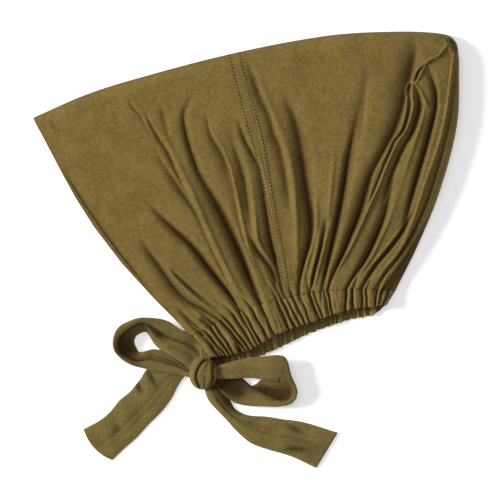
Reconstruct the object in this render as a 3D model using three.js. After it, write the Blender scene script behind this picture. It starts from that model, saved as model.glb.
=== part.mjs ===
// Jersey underscarf cap, folded flat on its side, with its two nape ties knotted in a bow.
// Millimetres, +Z up. The cap lies on z = 0, and the origin is under the middle of the whole piece.
// +X runs from the face opening to the back of the head, +Y from the nape to the crown.
// Each panel is one sheet with a near layer (on top) and a far layer (on the table).
import * as THREE from "three";
import { mergeVertices } from "three/addons/utils/BufferGeometryUtils.js";

// Driving dimensions
const CAP_WIDTH = 363; // tip of the face edge to the back of the pouch
const CAP_HEIGHT = 259; // lower front corner to the top of the crown fold
const WALL = 1.4; // jersey of the panels
const HOLLOW = 7.6; // clear height between the two layers of the front panel
const POUCH_RISE = 11; // extra height of the pouch over the front panel
const FOLD_HEIGHT = 3.5; // height of the folded edges above the table
const FOLD_REACH = 13; // how far a folded edge takes to round into the near layer
const FAR_FOLD_REACH = 5; // and into the far layer
const NAPE_LIFT = 2.7; // how much higher the near layer stands at the nape
const FOLD_DEPTH = 4.2; // depth of the deepest fold in the near layer
const GATHER_DEPTH = 1.1; // ripple of the gathered casing
const GATHER_COUNT = 27; // gathers along the casing
const FAR_PEEK = 4; // how far the far layer shows past the near layer at the face edge
const CASING_WIDTH = 24; // mean width of the nape casing
const CASING_THICK = 2.6; // casing with the elastic in it
const TIE_WIDTH = 30; // the tie laid flat
const TIE_THICK = 2.2; // the tie is a flattened tube, two layers of jersey
const LOOP_REACH_LEFT = 68; // knot to the far end of the left loop
const LOOP_REACH_RIGHT = 70; // knot to the far end of the right loop
const TAIL_LENGTH_LEFT = 100; // knot to the end of the left tail
const TAIL_LENGTH_RIGHT = 113; // knot to the end of the right tail
const KNOT_LENGTH = 26; // knot along the neck
const KNOT_WIDTH = 22; // knot across the neck
const KNOT_HEIGHT = 17;
const KNOT_ASIDE = 1; // how far the knot lies behind the neck's start
const KNOT_FULLNESS = 0.25; // 0.5 makes the knot an ellipsoid, less makes it a barrel
const NECK_LENGTH = 14; // tie between the casing and the knot
const GAP = 0.3; // clearance between neighbouring pieces

// Worked-out heights
const LAYERS_TOP = HOLLOW + 2 * WALL; // top of the flat front panel
const NEAR_NAPE_TOP = LAYERS_TOP + NAPE_LIFT; // top of the near layer at the nape and of the casing

// Places as shares: s runs from the face edge (0) to the back edge (1), t from the nape (0) to the crown (1)
const SEAM_SHARE = 0.475; // the seam between the front panel and the back panel
const CASING_START_SHARE = 0.035; // front end of the casing
const NECK_SEAT_SHARE = 0.3; // where the neck of the tie touches the casing's end, from its sewn edge

// Edges of the folded cap, from the lower front corner, x in CAP_WIDTH and y in CAP_HEIGHT
const NAPE_EDGE = [
  { at: 0, x: 0, y: 0 },
  { at: 0.15, x: 0.063, y: 0.056 },
  { at: 0.35, x: 0.152, y: 0.105 },
  { at: 0.6, x: 0.272, y: 0.141 },
  { at: 0.8, x: 0.361, y: 0.151 },
  { at: 1, x: 0.461, y: 0.148 },
];
const CROWN_EDGE = [
  { at: 0, x: -0.386, y: 0.718 },
  { at: 0.12, x: -0.269, y: 0.79 },
  { at: 0.25, x: -0.152, y: 0.843 },
  { at: 0.47, x: 0.089, y: 0.931 },
  { at: 0.6, x: 0.304, y: 0.987 },
  { at: 0.7, x: 0.461, y: 1 },
  { at: 0.8, x: 0.567, y: 0.993 },
  { at: 0.9, x: 0.602, y: 0.967 },
  { at: 1, x: 0.611, y: 0.908 },
];
const FACE_EDGE = [
  { at: 0, x: 0, y: 0 },
  { at: 0.3, x: -0.117, y: 0.17 },
  { at: 0.6, x: -0.244, y: 0.403 },
  { at: 1, x: -0.386, y: 0.718 },
];
const BACK_EDGE = [
  { at: 0, x: 0.461, y: 0.148 },
  { at: 0.2, x: 0.506, y: 0.295 },
  { at: 0.45, x: 0.562, y: 0.482 },
  { at: 0.7, x: 0.602, y: 0.695 },
  { at: 1, x: 0.611, y: 0.908 },
];

// How far the far layer hangs below the near layer at the nape, in CASING_WIDTH
const FAR_DROP = [
  { at: 0, drop: 0 },
  { at: 0.15, drop: 0.06 },
  { at: 0.38, drop: 0.33 },
  { at: 0.8, drop: 0.33 },
  { at: 1, drop: 0 },
];

// Nape casing: its lean from straight down in degrees, and its width in CASING_WIDTH
const CASING_RUN = [
  { at: 0, lean: 34, wide: 0.9 },
  { at: 0.1, lean: 25, wide: 1.2 },
  { at: 0.22, lean: 19, wide: 1.36 },
  { at: 0.35, lean: 13, wide: 1.2 },
  { at: 0.6, lean: 4, wide: 0.96 },
  { at: 0.8, lean: -3, wide: 0.68 },
  { at: 1, lean: -14, wide: 0.5 },
];

// Height of the near layer over the front panel's hollow, in POUCH_RISE, along s
const RISE_ALONG = [
  { at: 0, rise: 0 },
  { at: 0.25, rise: 0.12 },
  { at: 0.475, rise: 0.34 },
  { at: 0.68, rise: 0.9 },
  { at: 0.82, rise: 1 },
  { at: 1, rise: 0.6 },
];

// Folds of the near layer: s at the nape, half way and at the crown, the stretch of t that they
// cover, their half width in s, and their depth in FOLD_DEPTH (a ridge is negative)
const FOLDS = [
  // low front valley
  { nape: 0.1, middle: 0.09, crown: 0.08, from: -0.1, to: 0.34, half: 0.03, deep: 0.55 },
  // front valley
  { nape: 0.17, middle: 0.205, crown: 0.2, from: -0.1, to: 0.5, half: 0.026, deep: 0.7 },
  // thin front crease
  { nape: 0.25, middle: 0.25, crown: 0.26, from: 0.35, to: 0.88, half: 0.016, deep: 0.35 },
  // broad front valley
  { nape: 0.35, middle: 0.305, crown: 0.345, from: -0.1, to: 0.9, half: 0.026, deep: 0.95 },
  // front ridge
  { nape: 0.29, middle: 0.275, crown: 0.29, from: 0, to: 0.7, half: 0.02, deep: -0.35 },
  // crease before the seam
  { nape: 0.41, middle: 0.39, crown: 0.41, from: 0.1, to: 0.8, half: 0.018, deep: 0.45 },
  // valley before the seam
  { nape: 0.44, middle: 0.445, crown: 0.45, from: -0.1, to: 0.8, half: 0.014, deep: 0.5 },
  // valley after the seam
  { nape: 0.515, middle: 0.502, crown: 0.5, from: -0.1, to: 0.85, half: 0.012, deep: 0.45 },
  // pouch valley
  { nape: 0.57, middle: 0.553, crown: 0.53, from: -0.1, to: 0.85, half: 0.018, deep: 0.7 },
  // narrow pouch valley
  { nape: 0.59, middle: 0.6, crown: 0.6, from: -0.1, to: 0.4, half: 0.014, deep: 0.6 },
  // long pouch valley
  { nape: 0.625, middle: 0.64, crown: 0.655, from: -0.1, to: 0.85, half: 0.018, deep: 0.8 },
  // valley by the back seam
  { nape: 0.69, middle: 0.69, crown: 0.725, from: -0.1, to: 0.95, half: 0.022, deep: 1 },
  // piped back seam
  { nape: 0.735, middle: 0.72, crown: 0.78, from: 0.15, to: 0.96, half: 0.016, deep: -0.7 },
  // valley past the back seam
  { nape: 0.8, middle: 0.775, crown: 0.82, from: -0.1, to: 0.85, half: 0.018, deep: 0.75 },
  // back ridge
  { nape: 0.83, middle: 0.82, crown: 0.85, from: 0, to: 0.85, half: 0.018, deep: -0.5 },
  // back valley
  { nape: 0.87, middle: 0.86, crown: 0.875, from: -0.1, to: 0.8, half: 0.018, deep: 0.75 },
  // last ridge
  { nape: 0.92, middle: 0.91, crown: 0.93, from: 0, to: 0.9, half: 0.02, deep: -0.45 },
];

// Tie pieces: the middle line from where they leave the knot, along and across in the named reach,
// the height of the lower edge in TIE_THICK, the width in TIE_WIDTH, the turn about the line in
// degrees (0 lies flat, 90 stands on edge) and the bow of the section in TIE_THICK
const LEFT_LOOP = [
  { at: 0, along: 0, across: 0.125, lift: 2.6, wide: 0.46, turn: 14, bow: 0.6 },
  { at: 0.14, along: 0.3, across: 0.265, lift: 2.2, wide: 0.86, turn: 26, bow: 1 },
  { at: 0.28, along: 0.54, across: 0.35, lift: 1, wide: 0.86, turn: 44, bow: 1 },
  { at: 0.39, along: 0.74, across: 0.32, lift: 0.2, wide: 0.82, turn: 54, bow: 1 },
  { at: 0.5, along: 0.885, across: 0.19, lift: 0.1, wide: 0.84, turn: 48, bow: 1 },
  { at: 0.6, along: 0.86, across: 0.05, lift: 0.1, wide: 0.82, turn: 48, bow: 1 },
  { at: 0.72, along: 0.68, across: -0.05, lift: 0.8, wide: 0.8, turn: 52, bow: 1 },
  { at: 0.84, along: 0.457, across: -0.03, lift: 2, wide: 0.7, turn: 46, bow: 1 },
  { at: 1, along: 0, across: -0.07, lift: 2, wide: 0.26, turn: 20, bow: 0.4 },
];
const RIGHT_LOOP = [
  { at: 0, along: 0, across: 0.04, lift: 2.6, wide: 0.36, turn: 20, bow: 0.6 },
  { at: 0.14, along: 0.2, across: 0.065, lift: 1.6, wide: 0.7, turn: 34, bow: 1 },
  { at: 0.3, along: 0.5, across: 0.085, lift: 0.4, wide: 0.88, turn: 40, bow: 1 },
  { at: 0.42, along: 0.75, across: 0.095, lift: 0.1, wide: 0.82, turn: 50, bow: 0.8 },
  { at: 0.5, along: 0.865, across: 0.01, lift: 0, wide: 0.78, turn: 60, bow: 0.6 },
  { at: 0.57, along: 0.87, across: -0.13, lift: 0, wide: 0.78, turn: 58, bow: 0.6 },
  { at: 0.67, along: 0.75, across: -0.25, lift: 0.1, wide: 0.78, turn: 48, bow: 0.8 },
  { at: 0.83, along: 0.36, across: -0.265, lift: 1.2, wide: 0.6, turn: 46, bow: 0.8 },
  { at: 0.92, along: 0.13, across: -0.2, lift: 2, wide: 0.4, turn: 40, bow: 0.6 },
  { at: 1, along: 0, across: -0.13, lift: 2.2, wide: 0.26, turn: 24, bow: 0.4 },
];
const LEFT_TAIL = [
  { at: 0, along: 0, across: 0, lift: 0.6, wide: 0.36, turn: 0, bow: 0.2 },
  { at: 0.11, along: 0.1, across: 0.068, lift: 0.1, wide: 0.66, turn: 0, bow: 0.4 },
  { at: 0.26, along: 0.243, across: 0.08, lift: 0, wide: 0.94, turn: 0, bow: 0.4 },
  { at: 0.48, along: 0.452, across: 0.06, lift: 0, wide: 1.02, turn: 0, bow: 0.4 },
  { at: 0.73, along: 0.704, across: 0.05, lift: 0, wide: 1.06, turn: 0, bow: 0.4 },
  { at: 1, along: 1, across: 0.077, lift: 0, wide: 1.12, turn: 0, bow: 0 },
];
const RIGHT_TAIL = [
  { at: 0, along: 0, across: 0, lift: 0.6, wide: 0.34, turn: 0, bow: 0.2 },
  { at: 0.08, along: 0.066, across: -0.03, lift: 0.1, wide: 0.42, turn: 0, bow: 0.4 },
  { at: 0.28, along: 0.268, across: -0.128, lift: 0, wide: 0.5, turn: 0, bow: 0.6 },
  { at: 0.44, along: 0.42, across: -0.13, lift: 0, wide: 0.78, turn: 0, bow: 0.5 },
  { at: 0.62, along: 0.608, across: -0.085, lift: 0, wide: 0.94, turn: 0, bow: 0.4 },
  { at: 0.81, along: 0.797, across: -0.04, lift: 0, wide: 1, turn: 0, bow: 0.2 },
  { at: 1, along: 1, across: 0, lift: 0, wide: 1.12, turn: 0, bow: 0 },
];

// Each piece of the bow: where it leaves the knot and which way its table runs, in degrees from +X
const BOW = [
  { name: "bow_loop_left", rows: LEFT_LOOP, leaves: 165, heads: 165, reach: LOOP_REACH_LEFT },
  { name: "bow_loop_right", rows: RIGHT_LOOP, leaves: -3, heads: -3, reach: LOOP_REACH_RIGHT },
  { name: "tie_tail_left", rows: LEFT_TAIL, leaves: 200, heads: 220, reach: TAIL_LENGTH_LEFT },
  { name: "tie_tail_right", rows: RIGHT_TAIL, leaves: -60, heads: -29, reach: TAIL_LENGTH_RIGHT },
];

// The necks of the tie, from the casing's end down to the knot: height of the lower edge as a share
// of the way from the table to the near casing, and the width in TIE_WIDTH
const NEAR_NECK = [
  { at: 0, high: 1, wide: 0.28 },
  { at: 0.5, high: 0.84, wide: 0.24 },
  { at: 1, high: 0.64, wide: 0.3 },
];
const FAR_NECK = [
  { at: 0, high: 0, wide: 0.28 },
  { at: 0.5, high: 0.06, wide: 0.24 },
  { at: 1, high: 0.14, wide: 0.3 },
];

// Mesh steps
const FRONT_STEPS = 26; // along s
const BACK_STEPS = 26; // along s
const CROWNWARD_STEPS = 19; // along t
const FRONT_FAR_STEPS = 6; // along t, on the flat far layer
const CASING_STEPS_PER_GATHER = 4;
const CASING_FAR_STEPS = 20;
const LOOP_STEPS = 28;
const TAIL_STEPS = 16;
const NECK_STEPS = 5;
const TIE_SECTION_STEPS = 5; // across one face of a tie
const CROWN_CROWDING = 1.6; // mesh rows crowd towards the crown fold
const BACK_CROWDING = 1.2; // and towards the back edge

const CLOTH = { color: 0x796440, roughness: 0.95, metalness: 0 };
const TIE_CLOTH = { color: 0x786b46, roughness: 0.95, metalness: 0 };

// Smooth value of one column of a table at a place, through its rows (cubic, with secant slopes)
function follow(rows, column, at) {
  const last = rows.length - 1;
  let k = 0;
  while (k < last - 1 && at > rows[k + 1].at) {
    k += 1;
  }
  const slope = (i) => {
    const before = rows[Math.max(i - 1, 0)];
    const after = rows[Math.min(i + 1, last)];
    return (after[column] - before[column]) / (after.at - before.at);
  };
  const step = rows[k + 1].at - rows[k].at;
  const w = (at - rows[k].at) / step;
  const w2 = w * w;
  const w3 = w2 * w;
  return (
    (2 * w3 - 3 * w2 + 1) * rows[k][column] +
    (w3 - 2 * w2 + w) * step * slope(k) +
    (3 * w2 - 2 * w3) * rows[k + 1][column] +
    (w3 - w2) * step * slope(k + 1)
  );
}

function edgePoint(rows, at) {
  return new THREE.Vector2(follow(rows, "x", at) * CAP_WIDTH, follow(rows, "y", at) * CAP_HEIGHT);
}

// Smooth step from 0 to 1 between two values
function ease(from, to, value) {
  const w = THREE.MathUtils.clamp((value - from) / (to - from), 0, 1);
  return w * w * (3 - 2 * w);
}

// Plan of the cap: a sheet stretched between its four edges, pulled onto the face and back edges
function capPlan(s, t) {
  const nape = edgePoint(NAPE_EDGE, s);
  const crown = edgePoint(CROWN_EDGE, s);
  const point = nape.clone().lerp(crown, t);
  const pull = (edge, napeCorner, crownCorner, weight) => {
    const straight = edgePoint(NAPE_EDGE, napeCorner).lerp(edgePoint(CROWN_EDGE, crownCorner), t);
    point.addScaledVector(edgePoint(edge, t).sub(straight), weight);
  };
  pull(FACE_EDGE, 0, 0, (1 - s) ** 2);
  pull(BACK_EDGE, 1, 1, s ** 2);
  return point;
}

// How far the far layer lies from under the near layer: it shows past the face edge and below the nape
function farShift(s, t) {
  const peek = FAR_PEEK * Math.sin(Math.PI * t) ** 2 * (1 - s) ** 2;
  const drop = follow(FAR_DROP, "drop", s) * CASING_WIDTH * (1 - t) ** 2;
  return new THREE.Vector2(-peek, -drop);
}

const capSpan = (t) => capPlan(0, t).distanceTo(capPlan(1, t));
const capDrop = (s) => capPlan(s, 0).distanceTo(capPlan(s, 1));

// Height of a round edge, from 0 at the edge to 1 where it has reached the layer
function rounded(distance, reach) {
  const left = 1 - THREE.MathUtils.clamp(distance / reach, 0, 1);
  return Math.sqrt(1 - left * left);
}

// Folds and nape gathers of the near layer, as a height to take away
function foldDepth(s, t) {
  let depth = 0;
  const FADE = 0.22;
  for (const fold of FOLDS) {
    const middle = (1 - t) * (1 - 2 * t) * fold.nape + 4 * t * (1 - t) * fold.middle;
    const centre = middle + t * (2 * t - 1) * fold.crown;
    const shown = ease(fold.from, fold.from + FADE, t) * (1 - ease(fold.to - FADE, fold.to, t));
    const away = (s - centre) / fold.half;
    depth += fold.deep * FOLD_DEPTH * shown * Math.exp(-away * away);
  }
  return depth;
}

// Outer height of the near layer away from its folded edges: it swells between the nape and the
// crown, and the folds flatten where they enter the casing
function nearHeight(s, t) {
  const SWELL_SPAN = 0.88; // share of a half wave between the nape and the crown
  const SWELL_FULLNESS = 0.8;
  const swell = Math.sin(Math.PI * SWELL_SPAN * t) ** SWELL_FULLNESS;
  const lift = POUCH_RISE * follow(RISE_ALONG, "rise", s) * swell;
  const NAPE_SHARE = 0.35;
  const gathered = NAPE_SHARE + (1 - NAPE_SHARE) * ease(0, 0.14, t);
  const napeLift = NAPE_LIFT * (1 - ease(0, 0.2, t));
  return LAYERS_TOP + lift + napeLift - foldDepth(s, t) * gathered;
}

// A point of a panel's outer skin (inset 0) or inner skin (inset WALL). The inner skin is the same
// sheet, drawn in from the folded edges and lowered by the inset. The folded back edge only
// counts for the panel that reaches it.
function panelPoint(layer, s, t, inset, reachesBack) {
  const crownward = t * (1 - inset / capDrop(s));
  const backward = reachesBack ? SEAM_SHARE + (s - SEAM_SHARE) * (1 - inset / capSpan(t)) : s;
  const plan = capPlan(backward, crownward);
  if (layer === "far") {
    plan.add(farShift(s, t));
  }
  const reach = layer === "near" ? FOLD_REACH : FAR_FOLD_REACH;
  let edge = rounded((1 - t) * capDrop(s), reach - inset);
  if (reachesBack) {
    edge *= rounded((1 - s) * capSpan(t), reach - inset);
  }
  const flat = layer === "near" ? nearHeight(s, t) - inset : inset;
  return new THREE.Vector3(plan.x, plan.y, FOLD_HEIGHT + (flat - FOLD_HEIGHT) * edge);
}

// Faces of a grid of points, row by row; turned flips the side that they face
function gridFaces(grid, turned, faces) {
  for (let i = 0; i + 1 < grid.length; i += 1) {
    for (let j = 0; j + 1 < grid[i].length; j += 1) {
      const corners = [grid[i][j], grid[i + 1][j], grid[i + 1][j + 1], grid[i][j + 1]];
      if (turned) {
        corners.reverse();
      }
      faces.push([corners[0], corners[1], corners[2]]);
      faces.push([corners[0], corners[2], corners[3]]);
    }
  }
}

// Closed geometry from a list of triangles, with shared corners and no collapsed faces
function closedGeometry(faces) {
  const positions = faces.flatMap((face) => face.flatMap((corner) => corner.toArray()));
  const loose = new THREE.BufferGeometry();
  loose.setAttribute("position", new THREE.Float32BufferAttribute(positions, 3));
  const SAME = 1e-3;
  const merged = mergeVertices(loose, SAME);
  const index = [];
  for (let k = 0; k < merged.index.count; k += 3) {
    const [a, b, c] = [merged.index.getX(k), merged.index.getX(k + 1), merged.index.getX(k + 2)];
    if (a !== b && b !== c && c !== a) {
      index.push(a, b, c);
    }
  }
  merged.setIndex(index);
  return merged;
}

// Closed sheet from its outer and inner grids: both skins and a rim along every open border.
// Its last column has no rim where the layers are folded together there.
function sheetGeometry(outer, inner, foldedLastColumn = false) {
  const faces = [];
  gridFaces(outer, false, faces);
  gridFaces(inner, true, faces);
  const firstRow = [inner[0], outer[0]];
  const lastRow = [outer.at(-1), inner.at(-1)];
  gridFaces(firstRow, false, faces);
  gridFaces(lastRow, false, faces);
  const firstColumn = outer.map((row, i) => [inner[i][0], row[0]]);
  gridFaces(firstColumn, false, faces);
  if (!foldedLastColumn) {
    const lastColumn = outer.map((row, i) => [row.at(-1), inner[i].at(-1)]);
    gridFaces(lastColumn, false, faces);
  }
  return closedGeometry(faces);
}

// Shares from 0 to 1 that crowd towards 1
function crowded(steps, crowding) {
  return Array.from({ length: steps + 1 }, (_, k) => 1 - (1 - k / steps) ** crowding);
}

function makeMesh(name, geometry, look) {
  const mesh = new THREE.Mesh(geometry, new THREE.MeshStandardMaterial(look));
  mesh.name = name;
  return mesh;
}

// Front panel: one sheet that runs up the near layer, over the crown fold and down the far layer
function frontPanel() {
  const near = crowded(CROWNWARD_STEPS, CROWN_CROWDING).map((t) => ["near", t]);
  const far = crowded(FRONT_FAR_STEPS, 2 * CROWN_CROWDING).slice(0, -1).map((t) => ["far", t]);
  const run = [...near, ...far.reverse()];
  const skin = (inset) =>
    Array.from({ length: FRONT_STEPS + 1 }, (_, i) =>
      run.map(([layer, t]) => {
        const seam = SEAM_SHARE - GAP / 2 / capSpan(t);
        return panelPoint(layer, (seam * i) / FRONT_STEPS, t, inset, false);
      }),
    );
  return makeMesh("front_panel", sheetGeometry(skin(0), skin(WALL)), CLOTH);
}

// Back panel: a pocket, folded at the crown and at the back, open to the front panel and the nape
function backPanel() {
  const rises = crowded(CROWNWARD_STEPS, CROWN_CROWDING);
  const near = crowded(BACK_STEPS, BACK_CROWDING).map((b) => ["near", b]);
  const far = near.slice(0, -1).map(([, b]) => ["far", b]);
  const run = [...near, ...far.reverse()];
  const skin = (inset) =>
    run.map(([layer, b]) =>
      rises.map((t) => {
        const seam = SEAM_SHARE + GAP / 2 / capSpan(t);
        return panelPoint(layer, seam + (1 - seam) * b, t, inset, true);
      }),
    );
  return makeMesh("back_panel", sheetGeometry(skin(0), skin(WALL), true), CLOTH);
}

// A point of the nape casing: it hangs from the panels' nape edge, v from 0 there to 1 at its
// free edge. The near band is rippled by the elastic, the far band lies flat.
function casingPoint(layer, s, v, inset) {
  const drawn = s * (1 - inset / capSpan(0));
  const nape = capPlan(drawn, 0);
  if (layer === "far") {
    nape.add(farShift(s, 0));
  }
  const lean = THREE.MathUtils.degToRad(follow(CASING_RUN, "lean", drawn));
  const reach = GAP + v * follow(CASING_RUN, "wide", drawn) * CASING_WIDTH;
  const bulge = (CASING_THICK / 4) * Math.sin(Math.PI * v);
  const slant = 1.8 * v; // the gathers lean a little across the band
  const ripple = (GATHER_DEPTH / 2) * (1 + v) * Math.sin(2 * Math.PI * GATHER_COUNT * s + slant);
  const top = NEAR_NAPE_TOP + bulge + ripple;
  const flat = layer === "near" ? top - inset : inset;
  const turn = rounded((1 - s) * capSpan(0), (layer === "near" ? FOLD_REACH : FAR_FOLD_REACH) - inset);
  const height = FOLD_HEIGHT + (flat - FOLD_HEIGHT) * turn;
  return new THREE.Vector3(nape.x + Math.sin(lean) * reach, nape.y - Math.cos(lean) * reach, height);
}

// Nape casing: one band from the front corner along the near nape, round the back and forward again
function napeCasing() {
  const nearSteps = GATHER_COUNT * CASING_STEPS_PER_GATHER;
  const start = CASING_START_SHARE;
  const places = (steps) => Array.from({ length: steps + 1 }, (_, k) => start + ((1 - start) * k) / steps);
  const near = places(nearSteps).map((s) => ["near", s]);
  const far = places(CASING_FAR_STEPS).slice(0, -1).reverse().map((s) => ["far", s]);
  const across = [0, 0.5, 1];
  const skin = (inset) =>
    [...near, ...far].map(([layer, s]) => across.toReversed().map((v) => casingPoint(layer, s, v, inset)));
  return makeMesh("nape_casing", sheetGeometry(skin(0), skin(CASING_THICK)), CLOTH);
}

// A tie piece: a thin closed strip swept along its middle line. place(u) gives the middle, the
// width, the turn about the line and the bow of the section.
function tieStrip(name, steps, place) {
  const STEP = 1e-3;
  const rings = [];
  for (let i = 0; i <= steps; i += 1) {
    const u = i / steps;
    const here = place(u);
    const ahead = place(Math.min(u + STEP, 1)).middle.clone();
    const along = ahead.sub(place(Math.max(u - STEP, 0)).middle).normalize();
    const flat = new THREE.Vector3(-along.y, along.x, 0).normalize();
    const side = flat.applyAxisAngle(along, THREE.MathUtils.degToRad(here.turn));
    const up = new THREE.Vector3().crossVectors(along, side).normalize();
    const ring = [];
    for (const face of [1, -1]) {
      for (let j = 0; j <= TIE_SECTION_STEPS; j += 1) {
        const a = face * (1 - (2 * j) / TIE_SECTION_STEPS);
        const rim = Math.abs(a) > 0.99 ? 0.5 : 1;
        const off = here.bow * TIE_THICK * (1 - a * a) + (face * rim * TIE_THICK) / 2;
        const point = here.middle.clone().addScaledVector(side, (a * here.wide) / 2);
        ring.push(point.addScaledVector(up, off));
      }
    }
    ring.push(ring[0]);
    rings.push(ring);
  }
  const faces = [];
  gridFaces(rings, true, faces);
  for (const [ring, turned] of [[rings[0], false], [rings.at(-1), true]]) {
    for (let j = 0; j < TIE_SECTION_STEPS; j += 1) {
      const far = 2 * TIE_SECTION_STEPS + 1 - j;
      const strip = [[ring[j], ring[j + 1]], [ring[far], ring[far - 1]]];
      gridFaces(strip, turned, faces);
    }
  }
  return makeMesh(name, closedGeometry(faces), TIE_CLOTH);
}

// Knot of the bow: below the lower front corner of the cap, at the end of the neck
const NECK_TOP_WIDTH = NEAR_NECK[0].wide * TIE_WIDTH;
const NECK_CASING_GAP = GAP * 1.25; // measured level, against the slanted end of the casing
const CASING_SEAT = casingPoint("near", CASING_START_SHARE, NECK_SEAT_SHARE, 0);
const NECK_START = new THREE.Vector2(CASING_SEAT.x - NECK_CASING_GAP - NECK_TOP_WIDTH / 2, CASING_SEAT.y);
const KNOT_CENTRE = new THREE.Vector3(
  NECK_START.x + KNOT_ASIDE,
  NECK_START.y - NECK_LENGTH - KNOT_LENGTH / 2,
  KNOT_HEIGHT / 2,
);

// Width of the knot at a height, as a share of its width at the middle
function knotShare(z) {
  const level = THREE.MathUtils.clamp(z / KNOT_HEIGHT, 0, 1) * 2 - 1;
  return (1 - level * level) ** KNOT_FULLNESS;
}

// The neck of the tie: near runs down from the near casing, far lies under it
function tieNeck(name, rows) {
  const top = NEAR_NAPE_TOP - CASING_THICK;
  return tieStrip(name, NECK_STEPS, (u) => {
    const lowerEnd = follow(rows, "high", 1) * top + TIE_THICK;
    const knotTop = KNOT_CENTRE.y + (KNOT_LENGTH / 2) * knotShare(Math.min(lowerEnd, KNOT_CENTRE.z));
    const y = NECK_START.y + u * (knotTop + GAP - NECK_START.y);
    const x = NECK_START.x + u * (KNOT_CENTRE.x - NECK_START.x);
    const z = follow(rows, "high", u) * top + TIE_THICK / 2;
    const wide = follow(rows, "wide", u) * TIE_WIDTH;
    return { middle: new THREE.Vector3(x, y, z), turn: 0, wide, bow: 0 };
  });
}

// A loop or tail of the bow, from its row in BOW
function bowStrip({ name, rows, leaves, heads, reach }) {
  const direction = (degrees) => {
    const angle = THREE.MathUtils.degToRad(degrees);
    return new THREE.Vector3(Math.cos(angle), Math.sin(angle), 0);
  };
  const out = direction(leaves);
  const level = (rows[0].lift + 1 + rows[0].bow) * TIE_THICK;
  const share = knotShare(Math.min(level, KNOT_CENTRE.z));
  const knotReach = share / Math.hypot(out.x / (KNOT_WIDTH / 2), out.y / (KNOT_LENGTH / 2));
  const start = KNOT_CENTRE.clone().addScaledVector(out, knotReach + GAP);
  const way = direction(heads);
  const mirrored = way.x < 0 ? -1 : 1;
  const left = new THREE.Vector3(-way.y, way.x, 0).multiplyScalar(mirrored);
  const steps = rows.some((row) => row.turn > 0) ? LOOP_STEPS : TAIL_STEPS;
  return tieStrip(name, steps, (u) => {
    const middle = start.clone().addScaledVector(way, follow(rows, "along", u) * reach);
    middle.addScaledVector(left, follow(rows, "across", u) * reach);
    const wide = follow(rows, "wide", u) * TIE_WIDTH;
    const turn = follow(rows, "turn", u);
    const standing = (wide / 2) * Math.sin(THREE.MathUtils.degToRad(turn));
    middle.z = (follow(rows, "lift", u) + 0.5) * TIE_THICK + standing;
    return { middle, turn: -turn * mirrored, wide, bow: follow(rows, "bow", u) };
  });
}

function bowKnot() {
  const SIDES = 20;
  const BANDS = 10;
  const WRAP_DEPTH = 0.03;
  const wrap = (turn, rise) => 1 - WRAP_DEPTH * (0.5 - 0.5 * Math.cos(3 * turn + 2.2 * rise));
  const point = (i, j) => {
    const turn = (2 * Math.PI * (i % SIDES)) / SIDES;
    const rise = Math.PI * (j / BANDS - 0.5);
    const z = (KNOT_HEIGHT / 2) * Math.sin(rise);
    const ring = knotShare(z + KNOT_HEIGHT / 2) * wrap(turn, rise);
    const x = (KNOT_WIDTH / 2) * ring * Math.cos(turn);
    const y = (KNOT_LENGTH / 2) * ring * Math.sin(turn);
    return new THREE.Vector3(x, y, z).add(KNOT_CENTRE);
  };
  const rings = Array.from({ length: SIDES + 1 }, (_, i) =>
    Array.from({ length: BANDS + 1 }, (__, j) => (j % BANDS === 0 ? point(0, j) : point(i, j))),
  );
  const faces = [];
  gridFaces(rings, false, faces);
  return makeMesh("bow_knot", closedGeometry(faces), TIE_CLOTH);
}

const cap = new THREE.Group();
cap.add(frontPanel(), backPanel(), napeCasing());
cap.add(tieNeck("tie_neck_near", NEAR_NECK), tieNeck("tie_neck_far", FAR_NECK), bowKnot());
cap.add(...BOW.map(bowStrip));

// The origin goes under the middle of the whole piece
const reachAll = new THREE.Box3().setFromObject(cap, true);
const middle = reachAll.getCenter(new THREE.Vector3());
cap.position.set(-middle.x, -middle.y, 0);

export default cap;
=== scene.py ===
"""Dressed model of a jersey underscarf cap, folded flat on its side, its nape ties knotted in a bow.

Metres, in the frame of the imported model: +X from the face opening to the back of the head,
+Y from the nape to the crown, +Z up from the surface that the cap lies on. On the cap, s runs
from the face edge (0) to the back edge (1) and t from the nape (0) to the crown (1).
"""
import math
import bpy
import numpy as np
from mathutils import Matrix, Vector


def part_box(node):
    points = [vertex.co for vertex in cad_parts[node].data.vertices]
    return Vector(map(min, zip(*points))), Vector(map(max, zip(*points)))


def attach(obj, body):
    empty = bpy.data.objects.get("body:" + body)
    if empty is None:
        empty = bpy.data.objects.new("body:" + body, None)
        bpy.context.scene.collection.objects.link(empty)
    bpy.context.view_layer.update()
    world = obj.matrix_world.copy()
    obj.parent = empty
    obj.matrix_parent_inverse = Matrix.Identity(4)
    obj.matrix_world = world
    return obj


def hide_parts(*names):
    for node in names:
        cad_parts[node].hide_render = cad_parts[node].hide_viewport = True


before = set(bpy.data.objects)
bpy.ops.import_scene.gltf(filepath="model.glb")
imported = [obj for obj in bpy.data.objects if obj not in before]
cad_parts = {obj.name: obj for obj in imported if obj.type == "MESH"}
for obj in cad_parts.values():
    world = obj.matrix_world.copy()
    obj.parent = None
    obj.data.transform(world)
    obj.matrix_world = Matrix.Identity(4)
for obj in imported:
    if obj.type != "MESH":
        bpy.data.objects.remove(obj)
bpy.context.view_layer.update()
MM = 0.001

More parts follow.
